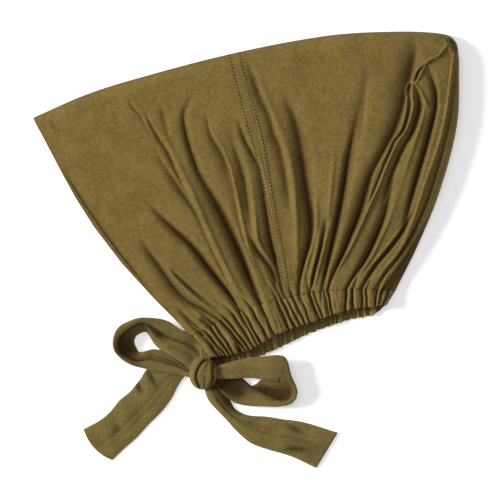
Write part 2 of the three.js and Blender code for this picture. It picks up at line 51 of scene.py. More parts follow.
# Sizes of the cap: in metres, in mm where the name says so, or as shares of s and t
CAP_WIDTH = 363 * MM
CAP_HEIGHT = 259 * MM
CLOTH = 0.9 * MM
LAYERS_TOP = 10.4 * MM
NEAR_NAPE_TOP = 13.1 * MM
POUCH_RISE = 11 * MM
FOLD_HEIGHT = 3.5 * MM
FOLD_REACH = 13 * MM
FAR_FOLD_REACH = 5 * MM
FAR_PEEK = 4.6 * MM
FACE_BULGE = 4.0 * MM
CORNER_SPREAD = 6.0 * MM
CORNER_REACH = 0.14
SEAM = 0.475
SEAM_LAP = 0.002
SEAM_DIP = 0.5 * MM
STITCH_PITCH_MM = 2.9
OFF_ROWS_MM = 99
NAPE_LENGTH_MM = 205
CASING_START = 0.006
CASING_WIDTH = 24 * MM
CASING_THICK = 2.6 * MM
CASING_PULL = 4 * MM
GATHER_DEPTH = 4.4 * MM
FAR_REPEAT = 1.9
TIE_WIDTH = 30 * MM
TIE_THICK = 2.2 * MM
TAIL_SPREAD = 0.06

# Edges of the folded cap from its lower front corner: at, x in CAP_WIDTH, y in CAP_HEIGHT
NAPE_EDGE = [(0, 0, 0), (0.15, 0.063, 0.056), (0.35, 0.152, 0.105), (0.6, 0.272, 0.141),
             (0.8, 0.361, 0.151), (1, 0.461, 0.148)]
CROWN_EDGE = [(0, -0.386, 0.718), (0.12, -0.269, 0.79), (0.25, -0.152, 0.843), (0.47, 0.089, 0.931),
              (0.6, 0.304, 0.987), (0.7, 0.461, 1), (0.8, 0.567, 0.993), (0.9, 0.602, 0.967),
              (1, 0.611, 0.908)]
FACE_EDGE = [(0, 0, 0), (0.3, -0.117, 0.17), (0.6, -0.244, 0.403), (1, -0.386, 0.718)]
BACK_EDGE = [(0, 0.461, 0.148), (0.2, 0.513, 0.295), (0.45, 0.567, 0.482), (0.7, 0.606, 0.695),
             (1, 0.611, 0.908)]
# That corner, from the back panel's own box: the box ends at the back edge's upper end, and the top
# of the crown fold is one height above the corner
BACK_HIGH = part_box("back_panel")[1]
CORNER = (BACK_HIGH.x - BACK_EDGE[-1][1] * CAP_WIDTH, BACK_HIGH.y - CAP_HEIGHT)
# Drop of the far layer below the near layer at the nape: at, in CASING_WIDTH
FAR_DROP = [(0, 0), (0.04, 0.16), (0.1, 0.24), (0.2, 0.36), (0.38, 0.52), (0.55, 0.4), (0.8, 0.36),
            (0.92, 0.28), (1, 0)]
# Casing: at, lean from straight down in degrees, width in CASING_WIDTH
CASING_RUN = [(0, 34, 0.9), (0.1, 25, 1.2), (0.22, 19, 1.36), (0.35, 13, 1.2), (0.6, 4, 0.96),
              (0.8, -3, 0.68), (1, -14, 0.5)]
# Rise of the near layer over the front panel: at, in POUCH_RISE
RISE_ALONG = [(0, 0), (0.25, 0.12), (0.475, 0.34), (0.68, 0.9), (0.82, 1), (1, 0.6)]

# Folds of the near layer. Rows: t, s, depth in mm (a ridge is negative), and the half widths
# towards the face and towards the back, in thousandths of s
FRONT_FOLDS = {
    "upper crease": [
        (0.94, 0.220, 0, 4, 3), (0.9, 0.221, 0.9, 5, 3), (0.86, 0.229, 0.9, 5, 3), (0.8, 0.232, 0.4, 5, 3),
        (0.72, 0.236, 0, 5, 3)],
    "thin crease": [
        (0.87, 0.243, 0, 5, 3), (0.83, 0.244, 1.2, 6, 3), (0.75, 0.249, 1.8, 7, 3), (0.7, 0.255, 2.0, 8, 3),
        (0.62, 0.256, 1.6, 7, 4), (0.55, 0.256, 0.9, 7, 4), (0.45, 0.257, 0.8, 7, 4),
        (0.3, 0.251, 0.8, 7, 4), (0.15, 0.246, 0.6, 6, 4), (0.06, 0.242, 0, 6, 4)],
    "slanting crease": [
        (0.72, 0.226, 0, 14, 5), (0.66, 0.229, 1.2, 14, 5), (0.6, 0.237, 1.9, 14, 5),
        (0.55, 0.243, 2.1, 13, 5), (0.5, 0.249, 1.8, 12, 5), (0.45, 0.255, 0.9, 10, 5),
        (0.4, 0.257, 0, 10, 5)],
    "ridge past the creases": [
        (0.8, 0.262, 0, 7, 7), (0.68, 0.267, -0.8, 8, 8), (0.5, 0.271, -1.3, 9, 9),
        (0.3, 0.267, -1.2, 9, 9), (0.12, 0.265, -1.2, 10, 12), (0, 0.27, -0.6, 10, 12)],
    "soft hollow": [
        (0.88, 0.279, 0, 8, 8), (0.84, 0.279, 0.9, 8, 8), (0.78, 0.273, 0.8, 8, 8), (0.7, 0.272, 0.3, 8, 8),
        (0.62, 0.27, 0, 8, 8)],
    "broad valley": [
        (0.89, 0.36, 0, 8, 10), (0.86, 0.348, 0.6, 8, 12), (0.84, 0.335, 1.1, 8, 10),
        (0.81, 0.323, 1.8, 8, 9), (0.76, 0.316, 2.5, 9, 8), (0.7, 0.311, 3.0, 10, 8),
        (0.64, 0.309, 3.2, 11, 8), (0.58, 0.309, 3.0, 13, 9), (0.52, 0.314, 3.4, 18, 11),
        (0.45, 0.321, 4.4, 24, 12), (0.38, 0.326, 5.0, 27, 12), (0.3, 0.33, 5.4, 28, 10),
        (0.22, 0.333, 5.6, 27, 9), (0.14, 0.331, 5.6, 24, 12), (0.06, 0.332, 4.6, 20, 13),
        (0, 0.333, 3.6, 18, 12)],
    "ridge past the valley": [
        (0.36, 0.352, 0, 8, 9), (0.28, 0.355, -1.1, 8, 9), (0.2, 0.357, -1.6, 8, 10),
        (0.1, 0.359, -1.6, 8, 11), (0, 0.362, -0.8, 8, 11)],
    "hooked crease": [
        (0.8, 0.374, 0, 7, 3), (0.77, 0.373, 0.7, 8, 3), (0.72, 0.3695, 1.5, 10, 3),
        (0.69, 0.3705, 1.9, 12, 3), (0.64, 0.378, 2.2, 15, 3), (0.58, 0.383, 2.2, 17, 3),
        (0.52, 0.382, 1.7, 18, 3), (0.46, 0.377, 1.4, 16, 4), (0.4, 0.371, 1.3, 12, 4),
        (0.33, 0.366, 1.0, 9, 4), (0.26, 0.362, 0.5, 8, 4), (0.2, 0.36, 0, 8, 4)],
    "ridge past the hook": [
        (0.72, 0.38, 0, 6, 8), (0.64, 0.388, -0.8, 6, 8), (0.55, 0.39, -1.4, 6, 8),
        (0.45, 0.386, -1.5, 7, 8), (0.38, 0.379, -1.4, 7, 8), (0.3, 0.373, -1.2, 8, 8),
        (0.2, 0.371, -0.9, 8, 10), (0.1, 0.375, -0.9, 9, 12), (0.02, 0.375, 0, 9, 12)],
    "soft valley": [
        (0.72, 0.414, 0, 10, 9), (0.64, 0.414, 1.1, 10, 9), (0.58, 0.416, 2.2, 11, 9),
        (0.52, 0.416, 2.5, 12, 9), (0.46, 0.411, 2.2, 13, 9), (0.4, 0.404, 1.7, 13, 9),
        (0.34, 0.398, 0.8, 12, 9), (0.29, 0.394, 0, 10, 9)],
    "ridge before the stitching": [
        (0.62, 0.43, 0, 9, 9), (0.52, 0.431, -0.8, 9, 9), (0.45, 0.427, -1.1, 9, 9),
        (0.38, 0.419, -1.3, 9, 9), (0.32, 0.411, -1.6, 9, 8), (0.27, 0.407, -1.6, 8, 8),
        (0.22, 0.414, -1.5, 8, 8), (0.19, 0.426, -1.2, 8, 8), (0.16, 0.438, 0, 8, 8)],
    "swirl": [
        (0.31, 0.384, 0, 8, 7), (0.26, 0.39, 2.0, 9, 7), (0.22, 0.398, 3.2, 10, 7),
        (0.19, 0.408, 3.2, 12, 8), (0.15, 0.42, 2.6, 14, 10), (0.1, 0.425, 2.0, 16, 12),
        (0.04, 0.42, 1.2, 16, 12), (0, 0.418, 0.8, 14, 10)],
    "valley along the stitching": [
        (0.75, 0.439, 0, 6, 4), (0.7, 0.44, 1.5, 7, 4), (0.65, 0.4435, 2.4, 8, 4), (0.6, 0.4515, 2.5, 9, 4),
        (0.55, 0.4585, 2.2, 10, 4), (0.5, 0.459, 2.4, 11, 4), (0.45, 0.457, 2.8, 12, 5),
        (0.4, 0.454, 3.2, 13, 6), (0.33, 0.449, 3.6, 15, 8), (0.25, 0.445, 4.2, 17, 9),
        (0.18, 0.445, 4.4, 20, 10), (0.1, 0.446, 3.8, 20, 10), (0.04, 0.447, 2.8, 16, 9),
        (0, 0.449, 2, 14, 8)],
    "front valley": [
        (0.55, 0.141, 0, 10, 8), (0.5, 0.15, 1.5, 12, 9), (0.46, 0.16, 2.7, 14, 10),
        (0.41, 0.174, 3.6, 15, 11), (0.36, 0.19, 4.2, 17, 11), (0.3, 0.201, 4.8, 18, 11),
        (0.25, 0.206, 5.0, 19, 11), (0.2, 0.212, 5.2, 20, 10), (0.15, 0.219, 5.2, 20, 8),
        (0.1, 0.226, 5.0, 16, 7), (0.05, 0.229, 4.4, 13, 7), (0, 0.23, 3.4, 11, 7)],
    "low front valley": [
        (0.45, 0.067, 0, 10, 8), (0.38, 0.067, 2.0, 14, 9), (0.3, 0.066, 2.9, 18, 10),
        (0.24, 0.063, 3.1, 20, 11), (0.18, 0.064, 2.8, 20, 12), (0.13, 0.075, 2.8, 20, 12),
        (0.09, 0.092, 3.0, 18, 10), (0.05, 0.106, 2.4, 16, 8), (0.01, 0.12, 0.8, 12, 8)],
    "low front crease": [
        (0.31, 0.094, 0, 4, 6), (0.27, 0.098, 1.2, 4, 6), (0.2, 0.108, 1.6, 4, 7), (0.15, 0.118, 1.6, 4, 8),
        (0.11, 0.13, 1.3, 4, 8), (0.07, 0.143, 0.7, 5, 8), (0.04, 0.153, 0, 5, 8)],
    "low front ridge": [
        (0.32, 0.082, 0, 5, 5), (0.25, 0.089, -1.3, 5, 5), (0.18, 0.098, -1.7, 5, 5),
        (0.12, 0.109, -1.7, 5, 5), (0.08, 0.122, -1.7, 6, 5), (0.04, 0.14, -1.3, 7, 6),
        (0, 0.156, 0, 7, 6)],
    "corner hollow": [
        (0.16, 0.028, 0, 8, 8), (0.1, 0.03, 1.8, 8, 8), (0.06, 0.032, 2.4, 9, 8), (0.02, 0.036, 1.6, 8, 8),
        (0, 0.036, 1, 8, 8)],
}
BACK_FOLDS = {
    "double crease": [
        (0.96, 0.481, 0, 5, 4), (0.9, 0.486, 1.2, 6, 4), (0.85, 0.488, 1.9, 7, 4), (0.8, 0.491, 2.2, 7, 4),
        (0.73, 0.498, 2.2, 9, 4), (0.65, 0.501, 2.4, 11, 5), (0.6, 0.507, 2.4, 12, 5),
        (0.55, 0.509, 2.3, 13, 5), (0.5, 0.511, 2.2, 13, 5), (0.43, 0.512, 1.8, 13, 5),
        (0.33, 0.514, 0, 11, 4)],
    "ridge past the crease": [
        (0.88, 0.494, 0, 5, 6), (0.8, 0.5, -1.0, 6, 7), (0.7, 0.509, -1.3, 6, 8), (0.62, 0.519, -1.3, 6, 8),
        (0.55, 0.525, -1.5, 7, 8), (0.48, 0.528, -1.6, 7, 8), (0.4, 0.528, -1.6, 8, 8),
        (0.3, 0.527, -1.4, 8, 8), (0.22, 0.524, -1.1, 8, 8), (0.12, 0.52, 0, 8, 8)],
    "pouch valley": [
        (0.84, 0.527, 0, 7, 8), (0.78, 0.529, 0.9, 8, 9), (0.73, 0.534, 2.2, 9, 10),
        (0.68, 0.539, 3.2, 10, 12), (0.6, 0.544, 3.6, 12, 13), (0.5, 0.549, 4.0, 14, 13),
        (0.4, 0.555, 4.6, 17, 11), (0.33, 0.563, 5.0, 20, 7), (0.25, 0.566, 5.2, 20, 6),
        (0.2, 0.56, 5.0, 18, 6), (0.15, 0.548, 4.6, 15, 6), (0.1, 0.536, 4.2, 13, 6),
        (0.05, 0.526, 3.2, 11, 6), (0, 0.52, 2, 10, 6)],
    "sharp ridge": [
        (0.44, 0.571, 0, 5, 7), (0.35, 0.575, -1.8, 5, 8), (0.28, 0.577, -2.2, 5, 8),
        (0.22, 0.573, -2.0, 5, 7), (0.16, 0.563, -1.6, 5, 7), (0.1, 0.549, -1.2, 5, 7),
        (0.03, 0.54, 0, 5, 7)],
    "narrow valley": [
        (0.31, 0.607, 0, 6, 5), (0.26, 0.605, 2.0, 7, 5), (0.22, 0.602, 3.3, 7, 5),
        (0.18, 0.599, 4.0, 7, 5), (0.15, 0.595, 4.3, 7, 5), (0.1, 0.587, 4.3, 7, 6),
        (0.05, 0.581, 3.6, 7, 6), (0, 0.576, 2.2, 6, 5)],
    "ridge before the narrow valley": [
        (0.27, 0.592, 0, 6, 5), (0.2, 0.589, -1.4, 6, 5), (0.14, 0.583, -1.8, 6, 5),
        (0.08, 0.574, -1.6, 6, 5), (0, 0.565, -0.6, 6, 5)],
    "ridge past the narrow valley": [
        (0.29, 0.617, 0, 5, 8), (0.2, 0.611, -1.4, 5, 8), (0.14, 0.606, -1.6, 5, 8),
        (0.08, 0.6, -1.5, 5, 8), (0, 0.59, -0.6, 5, 8)],
    "faint ridge": [
        (0.58, 0.611, 0, 5, 5), (0.48, 0.611, -0.8, 5, 5), (0.4, 0.611, -1.0, 5, 5),
        (0.32, 0.612, -0.6, 5, 5), (0.27, 0.613, 0, 5, 5)],
    "long valley": [
        (0.88, 0.655, 0, 9, 10), (0.8, 0.652, 0.5, 9, 10), (0.7, 0.648, 1.2, 8, 10),
        (0.6, 0.644, 2.4, 7, 11), (0.55, 0.6415, 3.3, 7, 12), (0.5, 0.64, 4.0, 8, 13),
        (0.4, 0.639, 4.6, 8, 13), (0.3, 0.637, 5.0, 8, 13), (0.2, 0.635, 5.0, 8, 11),
        (0.1, 0.633, 4.6, 8, 8), (0.04, 0.632, 3.4, 8, 7), (0, 0.632, 2.4, 7, 6)],
    "faint crease": [
        (0.88, 0.657, 0, 6, 5), (0.82, 0.657, 0.3, 6, 5), (0.75, 0.657, 0.7, 6, 4),
        (0.65, 0.657, 0.7, 5, 4), (0.56, 0.657, 0, 5, 4)],
    "valley before the back seam": [
        (0.98, 0.728, 0, 20, 9), (0.93, 0.734, 1.5, 23, 10), (0.88, 0.735, 2.9, 25, 10),
        (0.8, 0.733, 3.7, 25, 7), (0.7, 0.7315, 4.0, 23, 7), (0.65, 0.73, 4.0, 22, 7),
        (0.6, 0.7265, 4.0, 20, 6), (0.55, 0.718, 3.8, 18, 6), (0.5, 0.708, 3.8, 17, 6),
        (0.45, 0.7, 4.0, 18, 7), (0.4, 0.6985, 4.4, 20, 8), (0.3, 0.697, 4.8, 20, 9),
        (0.2, 0.689, 5.0, 18, 8), (0.15, 0.684, 5.0, 16, 7), (0.1, 0.676, 4.4, 13, 7),
        (0.05, 0.667, 3.4, 11, 7), (0, 0.66, 2.4, 10, 6)],
    "back seam near edge": [
        (0.99, 0.845, 0, 5, 5), (0.955, 0.832, -1.4, 5, 5), (0.93, 0.818, -1.7, 5, 5),
        (0.905, 0.802, -2.0, 5, 5), (0.89, 0.786, -2.0, 5, 5), (0.87, 0.769, -2.0, 5, 5),
        (0.85, 0.756, -2.0, 5, 4), (0.83, 0.751, -2.4, 3, 3), (0.805, 0.748, -2.4, 3, 3),
        (0.79, 0.74, -2.4, 3, 3), (0.77, 0.738, -2.4, 3, 3), (0.73, 0.743, -2.4, 3, 3),
        (0.7, 0.746, -2.4, 3, 3), (0.65, 0.748, -2.4, 3, 3), (0.61, 0.745, -2.4, 3, 3),
        (0.585, 0.735, -2.4, 3, 3), (0.56, 0.73, -2.4, 3, 3), (0.53, 0.7266, -1.9, 4, 4),
        (0.5, 0.72, -1.7, 4, 4), (0.48, 0.7134, -1.5, 4, 4), (0.45, 0.712, -1.3, 4, 4),
        (0.4, 0.712, -0.8, 4, 4), (0.35, 0.712, 0, 4, 4)],
    "back seam groove": [
        (0.94, 0.812, 0, 3, 3), (0.89, 0.79, 1.4, 4, 3), (0.85, 0.763, 2.2, 3, 2.5),
        (0.8, 0.7546, 2.2, 3, 2.5), (0.78, 0.746, 1.4, 4, 3), (0.7, 0.754, 2.2, 3, 2.5),
        (0.65, 0.7556, 2.4, 3, 2.5), (0.61, 0.753, 2.4, 3, 2.5), (0.58, 0.742, 2.4, 3, 2.5),
        (0.55, 0.7375, 2.4, 3, 2.5), (0.48, 0.73, 2.4, 3, 2.5), (0.4, 0.724, 1.9, 4, 3),
        (0.36, 0.721, 1.2, 4, 3), (0.31, 0.716, 0, 4, 3)],
    "back seam far edge": [
        (0.95, 0.826, 0, 4, 4), (0.91, 0.806, -1.3, 4, 4), (0.88, 0.779, -1.6, 4, 4),
        (0.85, 0.769, -1.8, 4, 4), (0.81, 0.761, -1.8, 4, 4), (0.79, 0.751, -2.4, 3, 3),
        (0.74, 0.756, -2.4, 3, 3), (0.71, 0.763, -2.5, 3, 3), (0.66, 0.7645, -2.5, 3, 3),
        (0.61, 0.761, -2.5, 3, 3), (0.575, 0.75, -2.5, 3, 3), (0.55, 0.745, -2.5, 3, 3),
        (0.48, 0.738, -2.5, 3, 3), (0.4, 0.733, -2.5, 3, 3), (0.36, 0.728, -2.5, 3, 3),
        (0.28, 0.72, -2.4, 3, 3), (0.2, 0.712, -1.8, 4, 4), (0.15, 0.7035, -1.6, 4, 4),
        (0.11, 0.694, -1.4, 4, 4), (0.08, 0.685, -1.0, 4, 4), (0.03, 0.675, 0, 4, 4)],
    "branch ridge": [
        (0.805, 0.747, 0, 5, 5), (0.79, 0.756, -1.3, 5, 5), (0.765, 0.769, -1.7, 5, 5),
        (0.735, 0.786, -1.6, 6, 6), (0.71, 0.802, -1.4, 7, 7), (0.697, 0.822, -0.9, 8, 8),
        (0.685, 0.838, 0, 8, 8)],
    "valley past the back seam": [
        (0.79, 0.76, 0, 5, 7), (0.74, 0.769, 2.2, 6, 8), (0.7, 0.778, 3.4, 7, 9), (0.65, 0.78, 3.8, 8, 9),
        (0.6, 0.778, 3.6, 8, 9), (0.56, 0.768, 3.4, 8, 9), (0.5, 0.761, 3.0, 8, 9),
        (0.45, 0.758, 2.6, 8, 10), (0.4, 0.76, 1.8, 8, 10), (0.33, 0.765, 0, 8, 10)],
    "low valley past the back seam": [
        (0.46, 0.763, 0, 12, 8), (0.38, 0.773, 2.4, 16, 9), (0.3, 0.785, 3.8, 20, 9),
        (0.24, 0.789, 4.4, 22, 9), (0.18, 0.79, 4.6, 22, 8), (0.12, 0.788, 4.4, 20, 8),
        (0.07, 0.776, 3.6, 16, 8), (0.02, 0.762, 2.2, 12, 8), (0, 0.758, 1.6, 12, 8)],
    "back ridge": [
        (0.74, 0.795, 0, 8, 9), (0.66, 0.797, -1.1, 8, 9), (0.55, 0.797, -1.2, 9, 10),
        (0.45, 0.799, -0.5, 9, 10), (0.35, 0.807, -0.4, 8, 10), (0.28, 0.813, -0.8, 8, 10),
        (0.2, 0.812, -1.2, 8, 9), (0.12, 0.808, -1.3, 8, 9), (0.04, 0.79, 0, 8, 9)],
    "back valley": [
        (0.87, 0.775, 0, 10, 9), (0.82, 0.795, 2.0, 13, 10), (0.76, 0.822, 3.6, 15, 10),
        (0.7, 0.838, 4.4, 16, 10), (0.65, 0.842, 4.8, 16, 11), (0.6, 0.845, 4.8, 16, 13),
        (0.5, 0.852, 4.8, 15, 15), (0.45, 0.857, 4.6, 15, 15), (0.4, 0.863, 4.2, 14, 15),
        (0.35, 0.873, 3.4, 13, 14), (0.29, 0.886, 2.0, 12, 12), (0.22, 0.89, 0, 10, 9)],
    "low back ridge": [
        (0.33, 0.889, 0, 7, 5), (0.27, 0.886, -0.7, 7, 5), (0.2, 0.868, -1.2, 7, 5),
        (0.15, 0.849, -1.4, 7, 5), (0.1, 0.831, -1.4, 7, 5), (0.03, 0.815, 0, 7, 5)],
    "low back valley": [
        (0.36, 0.908, 0, 9, 8), (0.28, 0.902, 2.6, 10, 9), (0.24, 0.896, 3.6, 11, 9),
        (0.2, 0.885, 4.2, 11, 9), (0.15, 0.867, 4.4, 11, 9), (0.1, 0.848, 4.2, 11, 9),
        (0.05, 0.84, 3.2, 10, 9), (0, 0.832, 2, 9, 8)],
    "ridge along the back edge": [
        (1, 0.893, 0, 7, 7), (0.95, 0.895, -1.4, 7, 7), (0.85, 0.895, -2.0, 7, 7), (0.75, 0.9, -2.0, 7, 7),
        (0.65, 0.907, -2.1, 7, 7), (0.55, 0.911, -2.1, 7, 7), (0.45, 0.908, -2.1, 7, 7),
        (0.38, 0.914, -2.1, 7, 7), (0.3, 0.921, -2.1, 7, 7), (0.2, 0.927, -1.9, 7, 7),
        (0.14, 0.916, -1.7, 7, 7), (0.1, 0.902, -1.4, 7, 7), (0.03, 0.885, 0, 7, 7)],
    "valley along the back edge": [
        (0.9, 0.93, 0, 10, 8), (0.8, 0.93, 1.0, 12, 10), (0.6, 0.94, 1.6, 12, 10), (0.4, 0.95, 2.2, 12, 10),
        (0.25, 0.948, 2.6, 10, 8), (0.15, 0.935, 2.8, 9, 7), (0.08, 0.915, 2.8, 9, 7), (0, 0.9, 1.6, 8, 7)],
}
# Factor on the depths of all folds, and the depth in mm whose bottom line of painted shade has its full tone
FOLD_SCALE = 1.3
LINE_DEPTH = 2.4
# Curled tucks of the near layer: points of the line in mm from the lower front corner, depth and
# half width in mm
CURLS = [([(-1.2, 9.4), (5.6, 4.3), (14.1, 1.3), (22.6, 3.0), (27.7, 6.9)], -1.7, 1.5),
         ([(0.5, 17.1), (6.4, 13.7), (12.4, 9.4), (18.3, 6.9)], 2.4, 3.2),
         ([(5.6, -0.8), (13.2, -2.9), (21.7, -0.8), (29.4, 4.3)], 1.8, 1.6),
         ([(212.1, 253.4), (216.8, 247.4), (219.8, 238.1)], 2.4, 2.4),
         ([(207.0, 255.1), (210.4, 249.1), (213.8, 244.0), (217.2, 236.4)], -1.3, 1.1),
         ([(-127.9, 186.2), (-127.0, 182.0), (-125.3, 176.9), (-121.1, 171.8)], -0.6, 2.0)]
# The near layer's last folded edge at the back, past which it lies lower: t, s, drop in mm
LAST_EDGE = [(0, 0.93, 5), (0.06, 0.94, 5.5), (0.12, 0.952, 5.5), (0.2, 0.966, 5), (0.28, 0.975, 4),
             (0.36, 0.984, 2.4), (0.45, 0.993, 0)]
# Two rows of stitching on the seam between the panels: t, s of the front row, s of the back row
STITCH_ROWS = [(0, 0.464, 0.484), (0.2, 0.464, 0.483), (0.4, 0.4645, 0.4815), (0.6, 0.461, 0.4832),
               (0.75, 0.457, 0.4795), (0.9, 0.457, 0.4765), (1, 0.457, 0.476)]

# Shape helpers


def follow(rows, column, at):
    """A column of a table at each place: a cubic between rows, whose slope at each row is that of the
    line between its neighbours."""
    table = np.array(sorted(rows), float)
    place, value = table[:, 0], table[:, column]
    slope = np.gradient(value, place) if len(place) < 3 else np.concatenate(
        [[(value[1] - value[0]) / (place[1] - place[0])],
         (value[2:] - value[:-2]) / (place[2:] - place[:-2]),
         [(value[-1] - value[-2]) / (place[-1] - place[-2])]])
    at = np.clip(at, place[0], place[-1])
    k = np.clip(np.searchsorted(place, at, side="right") - 1, 0, len(place) - 2)
    step = place[k + 1] - place[k]
    w = (at - place[k]) / step
    return ((2 * w**3 - 3 * w**2 + 1) * value[k] + (w**3 - 2 * w**2 + w) * step * slope[k]
            + (3 * w**2 - 2 * w**3) * value[k + 1] + (w**3 - w**2) * step * slope[k + 1])


def ease(low, high, value):
    """Smooth step from 0 at low to 1 at high: 3 w squared minus 2 w cubed."""
    w = np.clip((value - low) / (high - low), 0, 1)
    return w * w * (3 - 2 * w)


def rounded(distance, reach):
    """Quarter circle from 0 at the edge to 1 at its reach."""
    left = 1 - np.clip(distance / reach, 0, 1)
    return np.sqrt(np.maximum(1 - left * left, 0))


def waves(x, y, size, seed, count=9):
    """Soft irregular relief of about -1 to 1: the sum of sines of about the given wavelength in seeded
    directions, over the root of their number."""
    random = np.random.default_rng(seed)
    total = np.zeros(np.broadcast(x, y).shape)
    draws = [random.uniform(low, high, count) for low, high in ((0, math.pi), (0.7, 1.5), (0, 2 * math.pi))]
    for turn, stretch, phase in zip(*draws):
        along = x * math.cos(turn) + y * math.sin(turn)
        total += np.sin(2 * math.pi * along / (size * stretch) + phase)
    return total / count**0.5 / 1.4


def cap_plan(s, t):
    """Plan of the cap: straight lines from nape edge to crown fold, plus (1 - s) squared of the face
    edge's own bulge and s squared of the back edge's. The face edge bulges further by the 0.4th power
    of sin pi t, and the lower front corner spreads by e to the minus t over its reach. High powers of
    1 - s keep both to the edge."""
    plan = []
    for column, size, corner in ((1, CAP_WIDTH, CORNER[0]), (2, CAP_HEIGHT, CORNER[1])):
        nape, crown = follow(NAPE_EDGE, column, s), follow(CROWN_EDGE, column, s)
        share = nape * (1 - t) + crown * t
        for edge, end, hold in ((FACE_EDGE, 0, (1 - s) ** 2), (BACK_EDGE, -1, s**2)):
            chord = NAPE_EDGE[end][column] * (1 - t) + CROWN_EDGE[end][column] * t
            share = share + hold * (follow(edge, column, t) - chord)
        plan.append(corner + size * share)
    bulge = FACE_BULGE * np.maximum(np.sin(math.pi * t), 0) ** 0.4 * (1 - s) ** 8
    plan[0] = plan[0] - bulge - CORNER_SPREAD * np.exp(-t / CORNER_REACH) * (1 - s) ** 20
    return plan


def cap_span(t):
    """Straight distance from the face edge to the back edge."""
    a, b = cap_plan(np.zeros_like(t), t), cap_plan(np.ones_like(t), t)
    return np.hypot(b[0] - a[0], b[1] - a[1])


def cap_drop(s):
    """Straight distance from the nape edge to the crown fold."""
    a, b = cap_plan(s, np.zeros_like(s)), cap_plan(s, np.ones_like(s))
    return np.hypot(b[0] - a[0], b[1] - a[1])


def far_shift(s, t):
    """Shift of the far layer, which shows past the face edge by a sine squared, and below the nape by
    the drop table."""
    peek = FAR_PEEK * np.sin(math.pi * t) ** 2 * (1 - s) ** 2
    drop = follow(FAR_DROP, 1, s) * CASING_WIDTH * (1 - t) ** 2
    return -peek, -drop


def fold_relief(s, t):
    """Depth of all folds, and a line of painted shading from -1 to 1: painted shade along the bottom of each
    valley and, negative, a painted highlight along the top of each ridge. A fold's centre lies 0.35 of its
    front half width behind its row's place.
    The depth falls off on either side as e to the minus 1.8th power of the distance in half widths,
    the line as e to the minus square of it, from 0.15 in front of the centre, over 0.42. The curled
    tucks and the drop past the last folded edge are added."""
    depth, line = np.zeros(s.shape), np.zeros(s.shape)
    for rows in [*FRONT_FOLDS.values(), *BACK_FOLDS.values()]:
        low, high = min(r[0] for r in rows), max(r[0] for r in rows)
        deep = follow(rows, 2, t) * (t >= low) * (t <= high)
        front, back = follow(rows, 3, t) / 1000, follow(rows, 4, t) / 1000
        away = s - follow(rows, 1, t) - 0.35 * front
        away = away / np.maximum(np.where(away < 0, front, back), 1e-4)
        depth += FOLD_SCALE * deep * np.exp(-np.abs(away) ** 1.8)
        # The line is painted shade along each valley's bottom and a painted highlight along each ridge's
        # top.
        line += np.clip(deep / LINE_DEPTH, -0.8, 1) * np.exp(-((away + 0.15) / 0.42) ** 2)
    x, y = cap_plan(s, t)
    curl = line_relief(x - CORNER[0], y - CORNER[1], CURLS)
    # The curled tucks add their own painted shade and highlight lines.
    line += np.clip(curl / LINE_DEPTH, -0.8, 1)
    past = ease(-0.004, 0.009, s - follow(LAST_EDGE, 1, t))
    depth += curl + past * np.maximum(follow(LAST_EDGE, 2, t), 0)
    return depth * MM, np.clip(line, -1, 1)


def drawn_line(points, steps):
    """Places in metres along a smooth line through points in mm."""
    rows = [(k / (len(points) - 1), *point) for k, point in enumerate(points)]
    at = np.linspace(0, 1, steps)
    return at, follow(rows, 1, at) * MM, follow(rows, 2, at) * MM


def line_relief(x, y, lines):
    """Relief in mm of curved lines in plan: each a dip of its depth that falls off as e to the minus
    square of the distance from the line over its half width, and fades towards both its ends."""
    depth = np.zeros(x.shape)
    for points, deep, half in lines:
        at, px, py = drawn_line(points, 50)
        reach = 4 * half * MM
        near = ((np.abs(x - px.mean()) < np.ptp(px) / 2 + reach)
                & (np.abs(y - py.mean()) < np.ptp(py) / 2 + reach))
        square = (x[near][:, None] - px) ** 2 + (y[near][:, None] - py) ** 2
        place = at[square.argmin(axis=1)]
        fade = ease(0, 0.25, place) * (1 - ease(0.75, 1, place))
        depth[near] += deep * fade * np.exp(-square.min(axis=1) / (half * MM) ** 2)
    return depth


# Valleys between the gathers of the nape: s at the nape edge, s at the casing's free edge
GATHERS = [(0, 0.005), (0.032, 0.05), (0.046, 0.08), (0.074, 0.1), (0.097, 0.122), (0.13, 0.19),
           (0.152, 0.214), (0.194, 0.24), (0.226, 0.262), (0.245, 0.285), (0.286, 0.332),
           (0.335, 0.369), (0.416, 0.452), (0.44, 0.482), (0.463, 0.512), (0.491, 0.54), (0.527, 0.564),
           (0.573, 0.613), (0.594, 0.638), (0.65, 0.672), (0.671, 0.69), (0.77, 0.761), (0.797, 0.808),
           (0.846, 0.853), (0.864, 0.881), (0.915, 0.919), (0.938, 0.943), (0.97, 0.972), (1, 1)]


